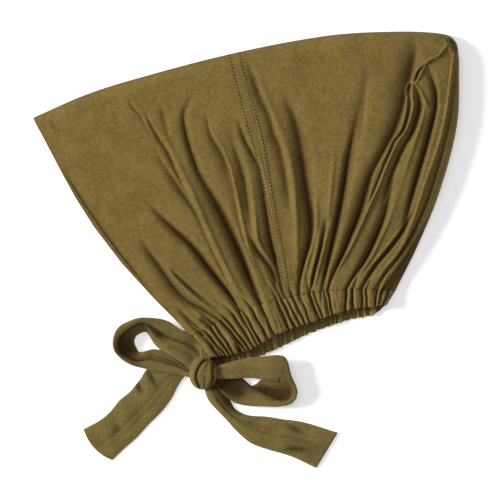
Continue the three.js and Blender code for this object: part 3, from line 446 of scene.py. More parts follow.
def gathers(s, v, repeat=1):
    """Puffs from 0 in the valleys to 1, and the painted shading of their gaps. The valleys' places are read
    at v of the casing's width, and the whole row is used that many times over. Next to a valley the puff
    is lower by the valley's seeded strength times e to the minus 1.5th power of the distance over
    1.3 mm, and in the middle of a puff it is a little higher. The gap has painted shade at its bottom line
    and a painted highlight along the puff's edge 2.1 mm from it."""
    nape, free = np.array(GATHERS).T
    wobble = 0.0012 * np.sin(7 * v + 60 * s) + 0.0007 * np.sin(15 * v - 97 * s)
    s = (repeat * s) % 1 if repeat > 1 else s
    start = s
    for _ in range(4):
        start = s + wobble - v * np.interp(start, nape, free - nape)
    place = np.interp(start, nape, np.arange(len(nape)))
    across = np.abs(2 * (place % 1) - 1)
    gap = np.diff(nape)[np.clip(place.astype(int), 0, len(nape) - 2)] * NAPE_LENGTH_MM / repeat
    away = (1 - across) / 2 * gap
    strength = np.random.default_rng(61).uniform(0.5, 1.0, len(nape))[np.rint(place).astype(int)]
    puff = 0.8 * (1 - strength * np.exp(-(away / 1.3) ** 1.5)) + 0.2 * (1 - across**2)
    # The second value is painted shade down in each gap and a painted highlight along the puff's edge beside
    # it.
    return puff, strength * np.exp(-(away / 1.1) ** 2) - 0.3 * np.exp(-((away - 2.1) / 0.7) ** 2)


def seam_tuck(s):
    """How deep the nape seam is tucked in, from 0 to 1 in patches along it."""
    return ease(0.1, 0.7, waves(s * CAP_WIDTH, 0 * s, 16 * MM, 31))


def near_height(s, t):
    """Height of the near layer: the layers' top, plus a swell (a sine to the 0.8 between nape and
    crown) that grows along s by its table, plus the lift at the nape and its gathers, which fade as e
    to the minus t over 0.045, minus the folds and the tucked nape seam, plus a raised strip along the
    seam between the panels and a slight unevenness."""
    swell = np.sin(math.pi * 0.88 * t) ** 0.8
    lift = POUCH_RISE * follow(RISE_ALONG, 1, s) * swell
    nape_lift = (NEAR_NAPE_TOP - LAYERS_TOP) * (1 - ease(0, 0.2, t))
    gathered = 0.55 + 0.45 * ease(0, 0.12, t)
    fade = np.exp(-t / 0.045)
    pleats = GATHER_DEPTH * (gathers(s, -0.6 * ease(0, 0.12, t))[0] - 0.6) * fade
    x, y = cap_plan(s, t)
    uneven = 0.35 * MM * waves(x, y, 60 * MM, 3) + 0.12 * MM * waves(x, y, 17 * MM, 4)
    strip = 0.35 * MM * (ease(0.455, 0.462, s) - ease(0.48, 0.487, s))
    dip = fold_relief(s, t)[0] * gathered + 0.5 * MM * seam_tuck(s) * np.exp(-(t / 0.006) ** 2)
    height = LAYERS_TOP + lift + nape_lift - dip + pleats + uneven + strip
    return np.maximum(height, 3.4 * MM)


def panel_points(layer, s, t, reaches_back):
    """Points of a panel: its plan, and its height drawn down to the folded edges by quarter circles.
    The front panel's edge dips under the back panel's at the seam."""
    x, y = cap_plan(s, t)
    near = layer == "near"
    if not near:
        dx, dy = far_shift(s, t)
        x, y = x + dx, y + dy
    reach = FOLD_REACH if near else FAR_FOLD_REACH
    edge = rounded((1 - t) * cap_drop(s), reach)
    if reaches_back:
        edge = edge * rounded((1 - s) * cap_span(t), reach)
    flat = near_height(s, t) if near else 0.0
    if near and not reaches_back:
        flat = flat - SEAM_DIP * ease(SEAM - SEAM_LAP, SEAM, s)
    return np.stack([x, y, FOLD_HEIGHT + (flat - FOLD_HEIGHT) * edge], axis=-1)


def grid_faces(index):
    """Four-cornered faces of a grid of point numbers, turned to face outwards with +s then +t on top."""
    return np.stack([index[:-1, :-1], index[1:, :-1], index[1:, 1:], index[:-1, 1:]], axis=-1).reshape(-1, 4)


def make_piece(name, points, faces, material, uv=None, extra=None):
    """An object at the origin from points and groups of faces, each group an array of faces with the
    same number of corners, without the points that no face uses."""
    points = points.reshape(-1, 3)
    used, corners = np.unique(np.concatenate([np.ravel(group) for group in faces]), return_inverse=True)
    listed, start = [], 0
    for group in faces:
        count, size = np.shape(group)
        listed += corners[start:start + count * size].reshape(count, size).tolist()
        start += count * size
    mesh = bpy.data.meshes.new(name)
    mesh.from_pydata(points[used].tolist(), [], listed)
    mesh.polygons.foreach_set("use_smooth", np.ones(len(listed), bool))
    if uv is not None:
        layer = mesh.uv_layers.new(name="cloth")
        layer.data.foreach_set("uv", uv.reshape(-1, 2)[used][corners].astype(np.float32).ravel())
    for label, values in (extra or {}).items():
        attribute = mesh.attributes.new(label, "FLOAT", "POINT")
        attribute.data.foreach_set("value", np.ravel(values)[used].astype(np.float32))
    mesh.materials.append(material)
    mesh.update()
    piece = bpy.data.objects.new(name, mesh)
    bpy.context.scene.collection.objects.link(piece)
    return piece


def tube_faces(index):
    """Faces of a tube from the point numbers of its rings, whose first half runs out and second half
    back: the side faces, and both ends closed by faces between the two halves."""
    half = index.shape[1] // 2
    ends = []
    for row, turned in ((index[0], False), (index[-1], True)):
        out, back = row[:half], row[half:][::-1]
        cap = np.stack([out[:-1], out[1:], back[1:], back[:-1]], axis=-1)
        ends.append(cap[:, ::-1] if turned else cap)
    return np.concatenate([grid_faces(np.concatenate([index, index[:, :1]], axis=1)), *ends])


def outwards(points, faces):
    """The faces, turned over if the volume that they enclose comes out negative."""
    p = points.reshape(-1, 3)[faces]
    volume = np.einsum("ij,ij->i", p[:, 0], np.cross(p[:, 1], p[:, 2]) + np.cross(p[:, 2], p[:, 3])).sum()
    return faces if volume > 0 else faces[:, ::-1]


def thicken(piece, thickness):
    """Gives a single skin its cloth thickness, inwards from its outer face."""
    solid = piece.modifiers.new("thickness", "SOLIDIFY")
    solid.thickness = thickness
    solid.offset = -1
    solid.use_even_offset = False
    return piece


# Materials


def nodes_of(name):
    """A new material with an empty node tree, and a function that adds a node and sets or links its
    inputs, which it takes by name, or by number as i0, i1 and so on."""
    material = bpy.data.materials.new(name)
    material.use_nodes = True
    tree = material.node_tree
    tree.nodes.clear()

    def add(kind, settings=None, **inputs):
        node = tree.nodes.new(kind)
        for key, value in (settings or {}).items():
            setattr(node, key, value)
        for key, value in inputs.items():
            numbered = key[0] == "i" and key[1:].isdigit()
            socket = node.inputs[int(key[1:]) if numbered else key.replace("_", " ")]
            if isinstance(value, bpy.types.NodeSocket):
                tree.links.new(value, socket)
            else:
                socket.default_value = value
        return node

    return material, add


def calc(add, operation, *values):
    """One step of arithmetic on the values."""
    inputs = {f"i{k}": value for k, value in enumerate(values)}
    return add("ShaderNodeMath", {"operation": operation}, **inputs).outputs[0]


def between(add, value, low, high, start=0.0, end=1.0):
    """From start to end as the value goes from low to high."""
    return add("ShaderNodeMapRange", None, Value=value, From_Min=low, From_Max=high,
               To_Min=start, To_Max=end).outputs[0]


def noise(add, place, scale, detail, roughness):
    """Soft irregular spots."""
    return add("ShaderNodeTexNoise", None, Vector=place, Scale=scale, Detail=detail,
               Roughness=roughness).outputs["Fac"]


def bands(add, place, direction, scale, **wobble):
    """Even bands across a direction."""
    return add("ShaderNodeTexWave", {"bands_direction": direction}, Vector=place, Scale=scale,
               **wobble).outputs["Fac"]


def mix(add, share, first, second, blend="MIX"):
    """Two colours mixed by a share. Each is a colour or a node's output."""
    first, second = (c if isinstance(c, bpy.types.NodeSocket) else (*c, 1) for c in (first, second))
    settings = {"data_type": "RGBA", "blend_type": blend}
    return add("ShaderNodeMix", settings, i0=share, i6=first, i7=second).outputs[2]


def bump(add, height, strength, distance, under=None, invert=False):
    """A fine relief over the relief under it."""
    below = {} if under is None else {"Normal": under}
    return add("ShaderNodeBump", {"invert": invert}, Height=height, Strength=strength,
               Distance=distance, **below).outputs[0]


def attribute(add, name):
    """A number that the mesh carries at its points."""
    return add("ShaderNodeAttribute", {"attribute_name": name}).outputs["Fac"]


def surface(add, **inputs):
    """The material's surface."""
    shader = add("ShaderNodeBsdfPrincipled", None, **inputs)
    add("ShaderNodeOutputMaterial", None, Surface=shader.outputs[0])


def paler(colour, gain):
    """A colour brightened by a gain."""
    return [min(gain * c + 0.02, 1) for c in colour]


def needle_rows(add, colour, tone, normal):
    """Slanting ribs between the two rows of stitches, and a row of needle holes along each, darkened
    with painted shade. A hole deepens as e to the minus 3 times the square of the distance from its
    row in mm, times a sine along the row, and the ribs are a sine along a slanted line."""
    along = attribute(add, "row_along")
    rows = [attribute(add, name) for name in ("row_front", "row_back")]
    beat = calc(add, "SINE", calc(add, "MULTIPLY", along, 2 * math.pi / STITCH_PITCH_MM))
    beat = between(add, beat, -0.1, 0.8)
    holes = []
    for away in rows:
        square = calc(add, "MULTIPLY", calc(add, "MULTIPLY", away, away), -3.0)
        holes.append(calc(add, "MULTIPLY", calc(add, "EXPONENT", square), beat))
    hole = calc(add, "MAXIMUM", *holes)
    slant = calc(add, "MULTIPLY_ADD", rows[0], 0.9, along)
    rib = calc(add, "SINE", calc(add, "MULTIPLY", slant, 4 * math.pi / STITCH_PITCH_MM))
    inside = between(add, rows[0], -1.6, 0.4)
    outside = between(add, rows[0], 7.0, 9.5, 1.0, 0.0)
    rib = calc(add, "MULTIPLY", rib, calc(add, "MULTIPLY", inside, outside))
    tone = mix(add, between(add, rib, -1.0, 1.0, -0.35, 0.35), tone, paler(colour, 1.9))
    # Painted shade in the needle holes.
    tone = mix(add, hole, tone, NEEDLE_HOLE_SHADE)
    normal = bump(add, rib, 0.5, 0.0006, normal)
    return tone, bump(add, hole, 0.8, 0.0012, normal, invert=True)


def jersey(name, colour, mottle, stitched=False):
    """Matte knitted jersey: fine ribs and courses from the cloth's own UV map, a soft mottle from
    object coordinates, painted shade down in the creases and a painted highlight on the ridges. With
    stitched, needle holes with painted shade and ribs run where the row attributes are near zero."""
    material, add = nodes_of(name)
    place = add("ShaderNodeTexCoord").outputs["Object"]
    cloth = add("ShaderNodeUVMap", {"uv_map": "cloth"}).outputs[0]
    ribs = bands(add, cloth, "X", 250.0, Distortion=1.2, Detail=1.0, Detail_Scale=1.6)
    courses = bands(add, cloth, "Y", 330.0, Distortion=1.0, Detail=1.0, Detail_Scale=1.4)
    fuzz = noise(add, place, 700.0, 4.0, 0.65)
    cloud = noise(add, place, 55.0, 5.0, 0.6)
    speck = noise(add, place, 330.0, 2.0, 0.5)
    spots = calc(add, "MULTIPLY_ADD", cloud, 0.45, calc(add, "MULTIPLY", speck, 0.55))
    dark, light = ([c * (1 + change) for c in colour] for change in (-mottle, mottle))
    tone = mix(add, between(add, spots, 0.38, 0.62), dark, light)
    # The crease attribute carries painted shading: painted shade where positive, a painted highlight where
    # negative.
    crease = attribute(add, "crease")
    tone = mix(add, crease, tone, FOLD_SHADE, "MULTIPLY")
    # Painted highlight on the ridges.
    tone = mix(add, calc(add, "MULTIPLY", crease, -1.0), tone, paler(colour, 1.6))
    normal = bump(add, calc(add, "MULTIPLY", ribs, courses), 0.35, 0.0003)
    normal = bump(add, fuzz, 0.5, 0.0004, normal)
    normal = bump(add, cloud, 0.25, 0.003, normal)
    if stitched:
        tone, normal = needle_rows(add, colour, tone, normal)
    surface(add, Base_Color=tone, Roughness=0.92, Normal=normal, Specular_IOR_Level=0.15,
            Sheen_Weight=0.10, Sheen_Roughness=0.4, Sheen_Tint=SHEEN)
    return material


def thread_material():
    """Sewing thread in the cloth's colour, a little darker, with a fine twist from object
    coordinates."""
    material, add = nodes_of("sewing thread")
    place = add("ShaderNodeTexCoord").outputs["Object"]
    twist = bands(add, place, "DIAGONAL", 900.0)
    tone = mix(add, twist, (0.10, 0.068, 0.018), (0.16, 0.110, 0.032))
    surface(add, Base_Color=tone, Roughness=0.8, Normal=bump(add, twist, 0.4, 0.0001),
            Specular_IOR_Level=0.1)
    return material


CAP_COLOUR = (0.190, 0.130, 0.036)
TIE_COLOUR = (0.176, 0.130, 0.040)
# Colour of the painted shade in the folds.
FOLD_SHADE = (0.26, 0.185, 0.15)
# Colour of the painted shade in the needle holes.
NEEDLE_HOLE_SHADE = (0.070, 0.048, 0.012)
SHEEN = (0.9, 0.8, 0.55, 1)
CAP_JERSEY = jersey("cap jersey", CAP_COLOUR, 0.17, stitched=True)
CASING_JERSEY = jersey("casing jersey", CAP_COLOUR, 0.17)
TIE_JERSEY = jersey("tie jersey", TIE_COLOUR, 0.15)
THREAD = thread_material()

# Panels


def painted_near_layer_shading(s, t):
    """Painted shading of the near layer: painted shade down in the folds by their depth over 8 mm and along
    their bottom lines, a painted highlight on the raised folds by their height over 3 mm and along their top
    lines, and painted shade along the crown fold, a painted shadow line along the face edge and painted
    shade in the tucks of the nape seam."""
    depth, line = fold_relief(s, t)
    depth = depth / MM
    # Painted shade down in the folds and a painted highlight on the raised folds.
    tone = np.clip(depth / 8, 0, 1) ** 1.1 * 0.95 - np.clip(-depth / 3, 0, 1) * 0.3
    # Painted shade and highlight lines along the folds, and painted shade in the nape seam's tucks.
    tone += np.where(line > 0, 0.5, 0.25) * line + 0.7 * seam_tuck(s) * np.exp(-(t / 0.005) ** 2)
    # Painted shade along the crown fold's edge.
    rim = np.exp(-((1 - t) * cap_drop(s) / (1.4 * MM)) ** 2)
    # A painted shadow line along the face edge, where the near layer overhangs the far layer.
    open_part = ease(0.22, 0.4, t) * (1 - ease(0.7, 0.8, t))
    painted_edge_shadow = np.exp(-(s * cap_span(t) / ((1.0 + 0.9 * open_part) * MM)) ** 2) * (0.35 + 0.65 * open_part)
    return np.clip(np.maximum(tone, np.maximum(0.45 * rim, painted_edge_shadow)), -1, 1)


def panel_extras(s, t, near):
    """Attributes of a panel: the painted shade and highlight of its folds, and distances in mm from each
    stitch row and along them. The far layer is out of the rows' reach."""
    span = cap_span(t) / MM
    off = 0 if near else OFF_ROWS_MM
    return {"crease": painted_near_layer_shading(s, t) if near else np.zeros(s.shape),
            "row_front": (s - follow(STITCH_ROWS, 1, t)) * span + off,
            "row_back": (s - follow(STITCH_ROWS, 2, t)) * span + off,
            "row_along": t * cap_drop(s) / MM}


def cloth_uv(s, t):
    """Flat cloth coordinates in metres: s of the cap's width and t of its height at the middle."""
    return np.stack([s * CAP_WIDTH, t * CAP_HEIGHT * 0.85], axis=-1)


def front_panel():
    """One sheet from the near nape over the crown fold to the far nape, a grid of s by the run of t."""
    columns, near_rows, far_rows = 268, 148, 14
    s = np.linspace(0, SEAM + SEAM_LAP, columns)[:, None]
    near_t = 1 - (1 - np.linspace(0, 1, near_rows)) ** 1.15
    far_t = (1 - (1 - np.linspace(0, 1, far_rows)) ** 3)[:-1][::-1]
    s1, t1 = np.broadcast_arrays(s, near_t[None, :])
    s2, t2 = np.broadcast_arrays(s, far_t[None, :])
    near, far = panel_points("near", s1, t1, False), panel_points("far", s2, t2, False)
    points = np.concatenate([near, far], axis=1)
    uv = np.concatenate([cloth_uv(s1, t1), cloth_uv(s2, 2 - t2)], axis=1)
    near, far = panel_extras(s1, t1, True), panel_extras(s2, t2, False)
    extra = {key: np.concatenate([near[key], far[key]], axis=1) for key in near}
    faces = [grid_faces(np.arange(points[..., 0].size).reshape(points.shape[:2]))]
    return thicken(make_piece("front_panel_cloth", points, faces, CAP_JERSEY, uv, extra), CLOTH)


def back_panel():
    """One pocket: columns run from the seam over the near layer, round the back edge and over the far
    layer to the seam again, and the two layers share their points along the crown fold. Columns are
    denser at the back seam and the back edge, and the far layer uses every eighth row and the last
    six."""
    columns, rows = 284, 138
    fine = np.linspace(SEAM, 1, 2000)
    at_seam = ease(0.68, 0.72, fine) * (1 - ease(0.78, 0.82, fine))
    dense = 1 + 1.3 * at_seam + 0.8 * ease(0.97, 1, fine)
    along = np.interp(np.linspace(0, 1, columns), np.cumsum(dense) / dense.sum(), fine)
    along[0], along[-1] = SEAM, 1
    t = (1 - (1 - np.linspace(0, 1, rows)) ** 1.2)[None, :]
    s1, t1 = np.broadcast_arrays(along[:, None], t)
    s2, t2 = np.broadcast_arrays(along[:-1][::-1][:, None], t)
    near, far = panel_points("near", s1, t1, True), panel_points("far", s2, t2, True)
    points = np.concatenate([near.reshape(-1, 3), far.reshape(-1, 3)])
    index_near = np.arange(columns * rows).reshape(columns, rows)
    index_far = columns * rows + np.arange((columns - 1) * rows).reshape(columns - 1, rows)
    index_far[:, -1] = index_near[:-1, -1][::-1]
    far_rows = np.unique(np.concatenate([np.arange(0, rows, 8), np.arange(rows - 6, rows)]))
    fold, first = index_near[-1], index_far[0]
    strip = [np.array([[fold[a], first[a], first[b], *fold[a + 1:b + 1][::-1]]])
             for a, b in zip(far_rows[:-1], far_rows[1:])]
    faces = [grid_faces(index_near), grid_faces(index_far[:, far_rows]), *strip]
    uv = np.concatenate([cloth_uv(s1, t1).reshape(-1, 2), cloth_uv(2 - s2, t2).reshape(-1, 2)])
    near, far = panel_extras(s1, t1, True), panel_extras(s2, t2, False)
    extra = {key: np.concatenate([near[key].ravel(), far[key].ravel()]) for key in near}
    return thicken(make_piece("back_panel_cloth", points, faces, CAP_JERSEY, uv, extra), CLOTH)


def casing_points(layer, s, v, inset):
    """Points of the casing: from the nape edge along its lean by v of its width, the near band
    at the panels' height there and pleated, the far band flatter, both rounded over at the free edge
    and drawn together at the back."""
    near = layer == "near"
    x, y = cap_plan(s, np.zeros_like(s))
    if not near:
        dx, dy = far_shift(s, np.zeros_like(s))
        x, y = x + dx, y + dy
    lean = np.radians(follow(CASING_RUN, 1, s))
    width = follow(CASING_RUN, 2, s) * CASING_WIDTH
    pleat = gathers(s, v, 1 if near else FAR_REPEAT)[0]
    scallop = (1.3 if near else 0.5) * MM * (pleat - 0.7) * v**2
    free = v * width + scallop + 0.5 * MM * waves(s * CAP_WIDTH, v * width, 9 * MM, 21) * v
    thin = inset * CASING_THICK
    roll = CASING_THICK / 2 * (1 - rounded(1 - v, 0.12)) + 0.7 * MM * (1 - ease(-0.04, -0.012, v))
    bulge = CASING_THICK / 4 * np.sin(math.pi * v)
    wrinkle = waves(s * CAP_WIDTH - 0.4 * v * width, 0.2 * v * width, 5 * MM, 22)
    wrinkle = 0.6 * MM * ease(0.1, 0.8, v) * wrinkle
    ripple = GATHER_DEPTH * (pleat - 0.6) * (1 + 0.35 * v) + wrinkle
    if near:
        nape = near_height(s, 0 * s) - GATHER_DEPTH * (gathers(s, 0 * s)[0] - 0.6)
        level = NEAR_NAPE_TOP + (nape - NEAR_NAPE_TOP) * (1 - v) ** 2 + 0.12 * MM
        top = level + bulge + ripple - np.where(inset > 0, -roll, roll) - thin
    else:
        top = np.where(inset > 0, CASING_THICK + np.maximum(ripple, -1.2 * MM) - roll, roll)
    reach = FOLD_REACH if near else FAR_FOLD_REACH
    turn = rounded((1 - s) * cap_span(np.zeros_like(s)), reach - thin)
    pull = CASING_PULL * v * ease(0.9, 1, s)
    return np.stack([x + np.sin(lean) * free - pull, y - np.cos(lean) * free,
                     FOLD_HEIGHT + (top - FOLD_HEIGHT) * turn], axis=-1)


def nape_casing():
    """One flattened tube: rings of outer then inner points, from the front corner along the near nape,
    round the back and forward again along the far nape."""
    v = np.concatenate([[-0.04, -0.012], 1 - (1 - np.linspace(0, 1, 18)) ** 1.2])
    ring_v = np.concatenate([v, v[::-1]])[None, :]
    ring_inset = np.repeat([0.0, 1.0], len(v))[None, :]
    near_run, far_run = np.linspace(CASING_START, 1, 640), np.linspace(1, CASING_START, 420)[1:]
    points, uv, crease = [], [], []
    for layer, run in (("near", near_run), ("far", far_run)):
        s, across, inset = np.broadcast_arrays(run[:, None], ring_v, ring_inset)
        points.append(casing_points(layer, s, across, inset))
        round_s = s if layer == "near" else 2 - s
        uv.append(np.stack([round_s * CAP_WIDTH, across * CASING_WIDTH], axis=-1))
        # Painted shading of the casing: painted shade in the gaps of the gathers and a painted highlight
        # beside them; the far band, in the near band's shadow, gets weaker painted shade and an overall
        # painted lightening.
        gap = gathers(s, across, 1 if layer == "near" else FAR_REPEAT)[1]
        crease.append(gap if layer == "near" else 0.6 * gap - 0.6)
    points, uv, crease = (np.concatenate(part) for part in (points, uv, crease))
    faces = outwards(points, tube_faces(np.arange(crease.size).reshape(crease.shape)))
    return make_piece("nape_casing_cloth", points, [faces], CASING_JERSEY, uv, {"crease": crease})


def stitches(name, centre, ahead, up, length, width, height):
    """Short threads: at each centre a small closed bead, whose rings across are widest in its middle
    and follow a half circle along the stitch."""
    rings, sides = 5, 6
    along = np.linspace(-1, 1, rings)[None, :, None, None]
    fat = np.sqrt(np.maximum(1 - along**2, 0.04))
    turn = np.linspace(0, 2 * math.pi, sides, endpoint=False)[None, None, :, None]
    ahead = ahead / np.linalg.norm(ahead, axis=1, keepdims=True)
    side = np.cross(up, ahead)
    side = side / np.linalg.norm(side, axis=1, keepdims=True)
    ahead, side, up = (way[:, None, None, :] for way in (ahead, side, up))
    ring = np.cos(turn) * width / 2 * side + np.sin(turn) * height / 2 * up
    local = along * length / 2 * ahead + fat * ring
    points = (centre[:, None, None, :] + local).reshape(-1, 3)
    index = np.arange(rings * sides).reshape(rings, sides)
    one = outwards(local[0], tube_faces(index))
    faces = (one[None] + (np.arange(len(centre)) * rings * sides)[:, None, None]).reshape(-1, 4)
    return make_piece(name, points, [faces], THREAD)


def seam_stitches():
    """Two rows of needle stitches on the seam between the panels, one bead per stitch, on the near
    layer. Each bead stands on the layer's own normal, from places a small step to either side."""
    centres, heads, ups = [], [], []
    for column in (1, 2):
        t = np.linspace(0.012, 0.985, 4000)
        s = follow(STITCH_ROWS, column, t)
        line = np.stack([*cap_plan(s, t)], axis=-1)
        run = np.concatenate([[0], np.cumsum(np.linalg.norm(np.diff(line, axis=0), axis=1))])
        at = np.interp(np.arange(1.0, run[-1] / MM, STITCH_PITCH_MM) * MM, run, t)
        small = 0.0015 * np.array([-1, 0, 1])
        grid_s = follow(STITCH_ROWS, column, at)[:, None, None] + small[None, :, None]
        grid_s, grid_t = np.broadcast_arrays(grid_s, at[:, None, None] + small[None, None, :])
        place = panel_points("near", grid_s, grid_t, False)
        ahead = place[:, 1, 2] - place[:, 1, 0]
        normal = np.cross(place[:, 2, 1] - place[:, 0, 1], ahead)
        normal = normal / np.linalg.norm(normal, axis=1, keepdims=True)
        centres.append(place[:, 1, 1] + normal * 0.05 * MM)
        heads.append(ahead)
        ups.append(normal)
    centres, heads, ups = (np.concatenate(part) for part in (centres, heads, ups))
    return stitches("crown_seam_stitches", centres, heads, ups, 1.5 * MM, 0.5 * MM, 0.35 * MM)


# Ties. Rows from the knot outwards, in mm from the middle of the knot on the surface below: x, y and
# height of the cloth's outer edge, of the line along its middle, and of its inner edge
LEFT_LOOP = [(-2, 13.2, 9, -2, 8.9, 8, -4.5, 1.3, 7), (-7.2, 31.5, 9, -7.9, 18.3, 6.5, -13, 2.1, 7),
             (-19.8, 35.3, 12, -18.1, 24.2, 9.5, -20.7, 8.1, 8),
             (-31.7, 42.9, 15, -31.7, 28.9, 11, -36, 17, 6),
             (-42.8, 45.5, 17, -41.1, 35.3, 13, -42.8, 22.7, 2.5),
             (-54.7, 45.5, 18, -52.5, 41.2, 16, -49.6, 33.1, 1.3),
             (-65.7, 42.5, 18.5, -62.7, 37, 16, -57.2, 31.4, 1.2),
             (-74.2, 37, 18.5, -70.4, 31, 15.5, -59.8, 28.1, 1.2),
             (-78, 27.6, 18, -73.4, 24.2, 14.5, -60.2, 24.2, 1.2),
             (-77.2, 18.3, 17, -71.7, 16.6, 13, -58.5, 20, 1.5),
             (-71.7, 11, 14.5, -64.9, 11.9, 10.5, -56.4, 16.6, 3),
             (-61.5, 5.5, 12, -56.4, 8.9, 7.5, -52, 17, 8),
             (-48.7, 1.7, 9.5, -46.2, 10.2, 7, -43, 18.9, 8),
             (-36.8, -0.4, 8, -34.3, 7.6, 7, -30.5, 15.8, 5),
             (-24.1, -2.5, 7.5, -23.2, 3.8, 7, -18.1, 6.4, 4.5),
             (-14.7, -4.7, 7, -13.9, 0, 7, -11.3, 3.8, 5), (-6.2, -5.5, 7, -6.2, -2.1, 7, -5.4, 2.1, 6)]
RIGHT_LOOP = [(4.8, 4.7, 8, 4.8, -0.4, 8.8, 4.8, -5.1, 7.2),
              (11.6, 5.5, 9.6, 12.5, 0, 10.8, 13.3, -6.4, 8),
              (24.4, 8.9, 11.2, 25.2, 1.3, 12, 26.1, -6, 9.6),
              (38, 11.9, 12.8, 38.8, 3, 13.6, 39.7, -5.5, 10.4),
              (51.6, 13.2, 14.4, 52.4, 2.1, 14.8, 51.6, -7.6, 11.2),
              (62.6, 14, 15.2, 61.8, 2.1, 15.6, 60.1, -8.1, 12),
              (69, 11, 16, 66.9, 0.4, 15.6, 60.1, -8.9, 11.2),
              (72, -1.3, 16, 69.4, -6.4, 14.4, 57, -6.5, 6.4),
              (76.2, -12.3, 15.2, 71.6, -13.2, 12.8, 52, -6.8, 3),
              (77.5, -19.1, 13.6, 70.7, -19.6, 10.4, 46.8, -7.6, 1.2),
              (73.7, -25.5, 12, 66.9, -23.4, 9.2, 44.4, -9.8, 1.2),
              (63.5, -29.8, 10.4, 59.2, -24.2, 8.4, 41.2, -11.8, 1.5),
              (49, -29.8, 8.8, 47.3, -22.9, 8, 38, -11.9, 3),
              (36.3, -29.3, 7.2, 34.2, -21.2, 5.6, 32, -6, 4),
              (25.2, -26.8, 5.6, 25.2, -17.8, 4.4, 25.2, -3.8, 4),
              (15.9, -20, 4.8, 16.7, -13.2, 5, 17.6, -2.1, 4),
              (6.5, -9.8, 4.8, 7.4, -8.1, 4.8, 7.4, -3.8, 5)]
LEFT_TAIL = [(-13, 4.7, 4.5, -10.5, 0.4, 4.5, -7.9, -3.8, 4.5),
             (-28.3, 4.7, 3.2, -21.5, -0.4, 3.6, -16.5, -3.6, 3.2),
             (-46.8, 2.5, 2.6, -34.2, -7.2, 3.2, -23.6, -12, 2.6),
             (-54.8, -7.3, 2.4, -42.4, -17, 3, -29.6, -22.9, 2.4),
             (-63.3, -17.7, 2.4, -50.9, -27.2, 2.9, -37.7, -33.6, 2.4),
             (-72.5, -25.5, 2.3, -60.6, -37, 2.8, -48.7, -44.6, 2.3),
             (-80.6, -35.3, 2.3, -70.4, -47.2, 2.8, -58.9, -55.7, 2.3),
             (-89.8, -42.8, 2.3, -80.4, -55.2, 2.7, -70.4, -65.9, 2.3),
             (-103.2, -50.2, 2.2, -94.2, -65.6, 2.4, -80, -75, 2.2)]
RIGHT_TAIL = [(-2.8, -3.8, 4.5, 1.4, -4.7, 5, 6.5, -4.7, 4.5),
              (-0.9, -14, 3, 5.5, -14, 4.4, 13.6, -12.6, 3),
              (2.9, -24.2, 2.6, 10.6, -24.6, 4.8, 20.2, -23.6, 2.8),
              (10.2, -32.6, 2.4, 16.6, -32.2, 4.2, 24.4, -31.4, 2.6),
              (18.6, -41.4, 2.4, 24.4, -39.1, 3.6, 31, -36, 2.4),
              (27.8, -51.4, 2.3, 33.7, -45, 3.2, 38.8, -38.2, 2.3),
              (39.7, -60.8, 2.3, 45.6, -50.6, 2.9, 50.7, -39.1, 2.3),
              (55, -66.3, 2.3, 60.9, -54.8, 2.8, 66, -41.6, 2.3),
              (73.7, -71.8, 2.3, 78.8, -58.2, 2.8, 83.5, -44.2, 2.3),
              (94.8, -81.5, 2.2, 103.4, -67.4, 2.4, 112.1, -53.1, 2.2)]
KNOT = np.mean([list(corner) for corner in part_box("bow_knot")], axis=0)
KNOT_WIDTH, KNOT_LENGTH, KNOT_HEIGHT = 25.5 * MM, 29 * MM, 17 * MM
KNOT_SHIFT = np.array([-1.6 * MM, -1.3 * MM, 0])
# Each tie piece: its rows, depth in mm of the dip along its middle, how far its edges are spread,
# seed and steps
BOW = {"bow_loop_left": (LEFT_LOOP, 1.3, 0, 9, 200), "bow_loop_right": (RIGHT_LOOP, 0.2, 0, 11, 200),
       "tie_tail_left": (LEFT_TAIL, 0.5, TAIL_SPREAD, 7, 150),
       "tie_tail_right": (RIGHT_TAIL, 0.5, TAIL_SPREAD, 9, 150)}
# Creases across the ties: u, a (across from -1 to 1), length in u, length in a, slant, depth in mm
TIE_CREASES = {
    "bow_loop_left": [(0.1, 0.5, 0.06, 0.14, 0.4, 0.6), (0.2, 0.4, 0.08, 0.16, -0.4, 0.5),
                      (0.8, 0.3, 0.1, 0.12, 0.4, 1.0), (0.9, 0.1, 0.06, 0.12, -0.3, 1.0)],
    "bow_loop_right": [(0.06, -0.3, 0.05, 0.12, 0.1, 0.9), (0.16, 0.3, 0.1, 0.12, 0.3, 0.4),
                       (0.62, 0.2, 0.06, 0.3, 0.5, 1.2), (0.84, 0.2, 0.05, 0.2, -0.6, 1.0)],
    "tie_tail_left": [(0.3, -0.55, 0.04, 0.3, 1.2, 1.3), (0.42, -0.85, 0.03, 0.25, 1.0, 1.6),
                      (0.55, 0.35, 0.4, 0.04, 0.0, 0.5), (0.8, -0.1, 0.05, 0.2, 0.6, 0.8)],
    "tie_tail_right": [(0.3, 0.1, 0.2, 0.1, 0.1, 1.0), (0.62, 0.3, 0.1, 0.08, 0.6, 0.8),
                       (0.86, 0.55, 0.05, 0.12, -1.2, 1.3), (0.9, -0.5, 0.05, 0.2, 1.0, 1.4)],
}
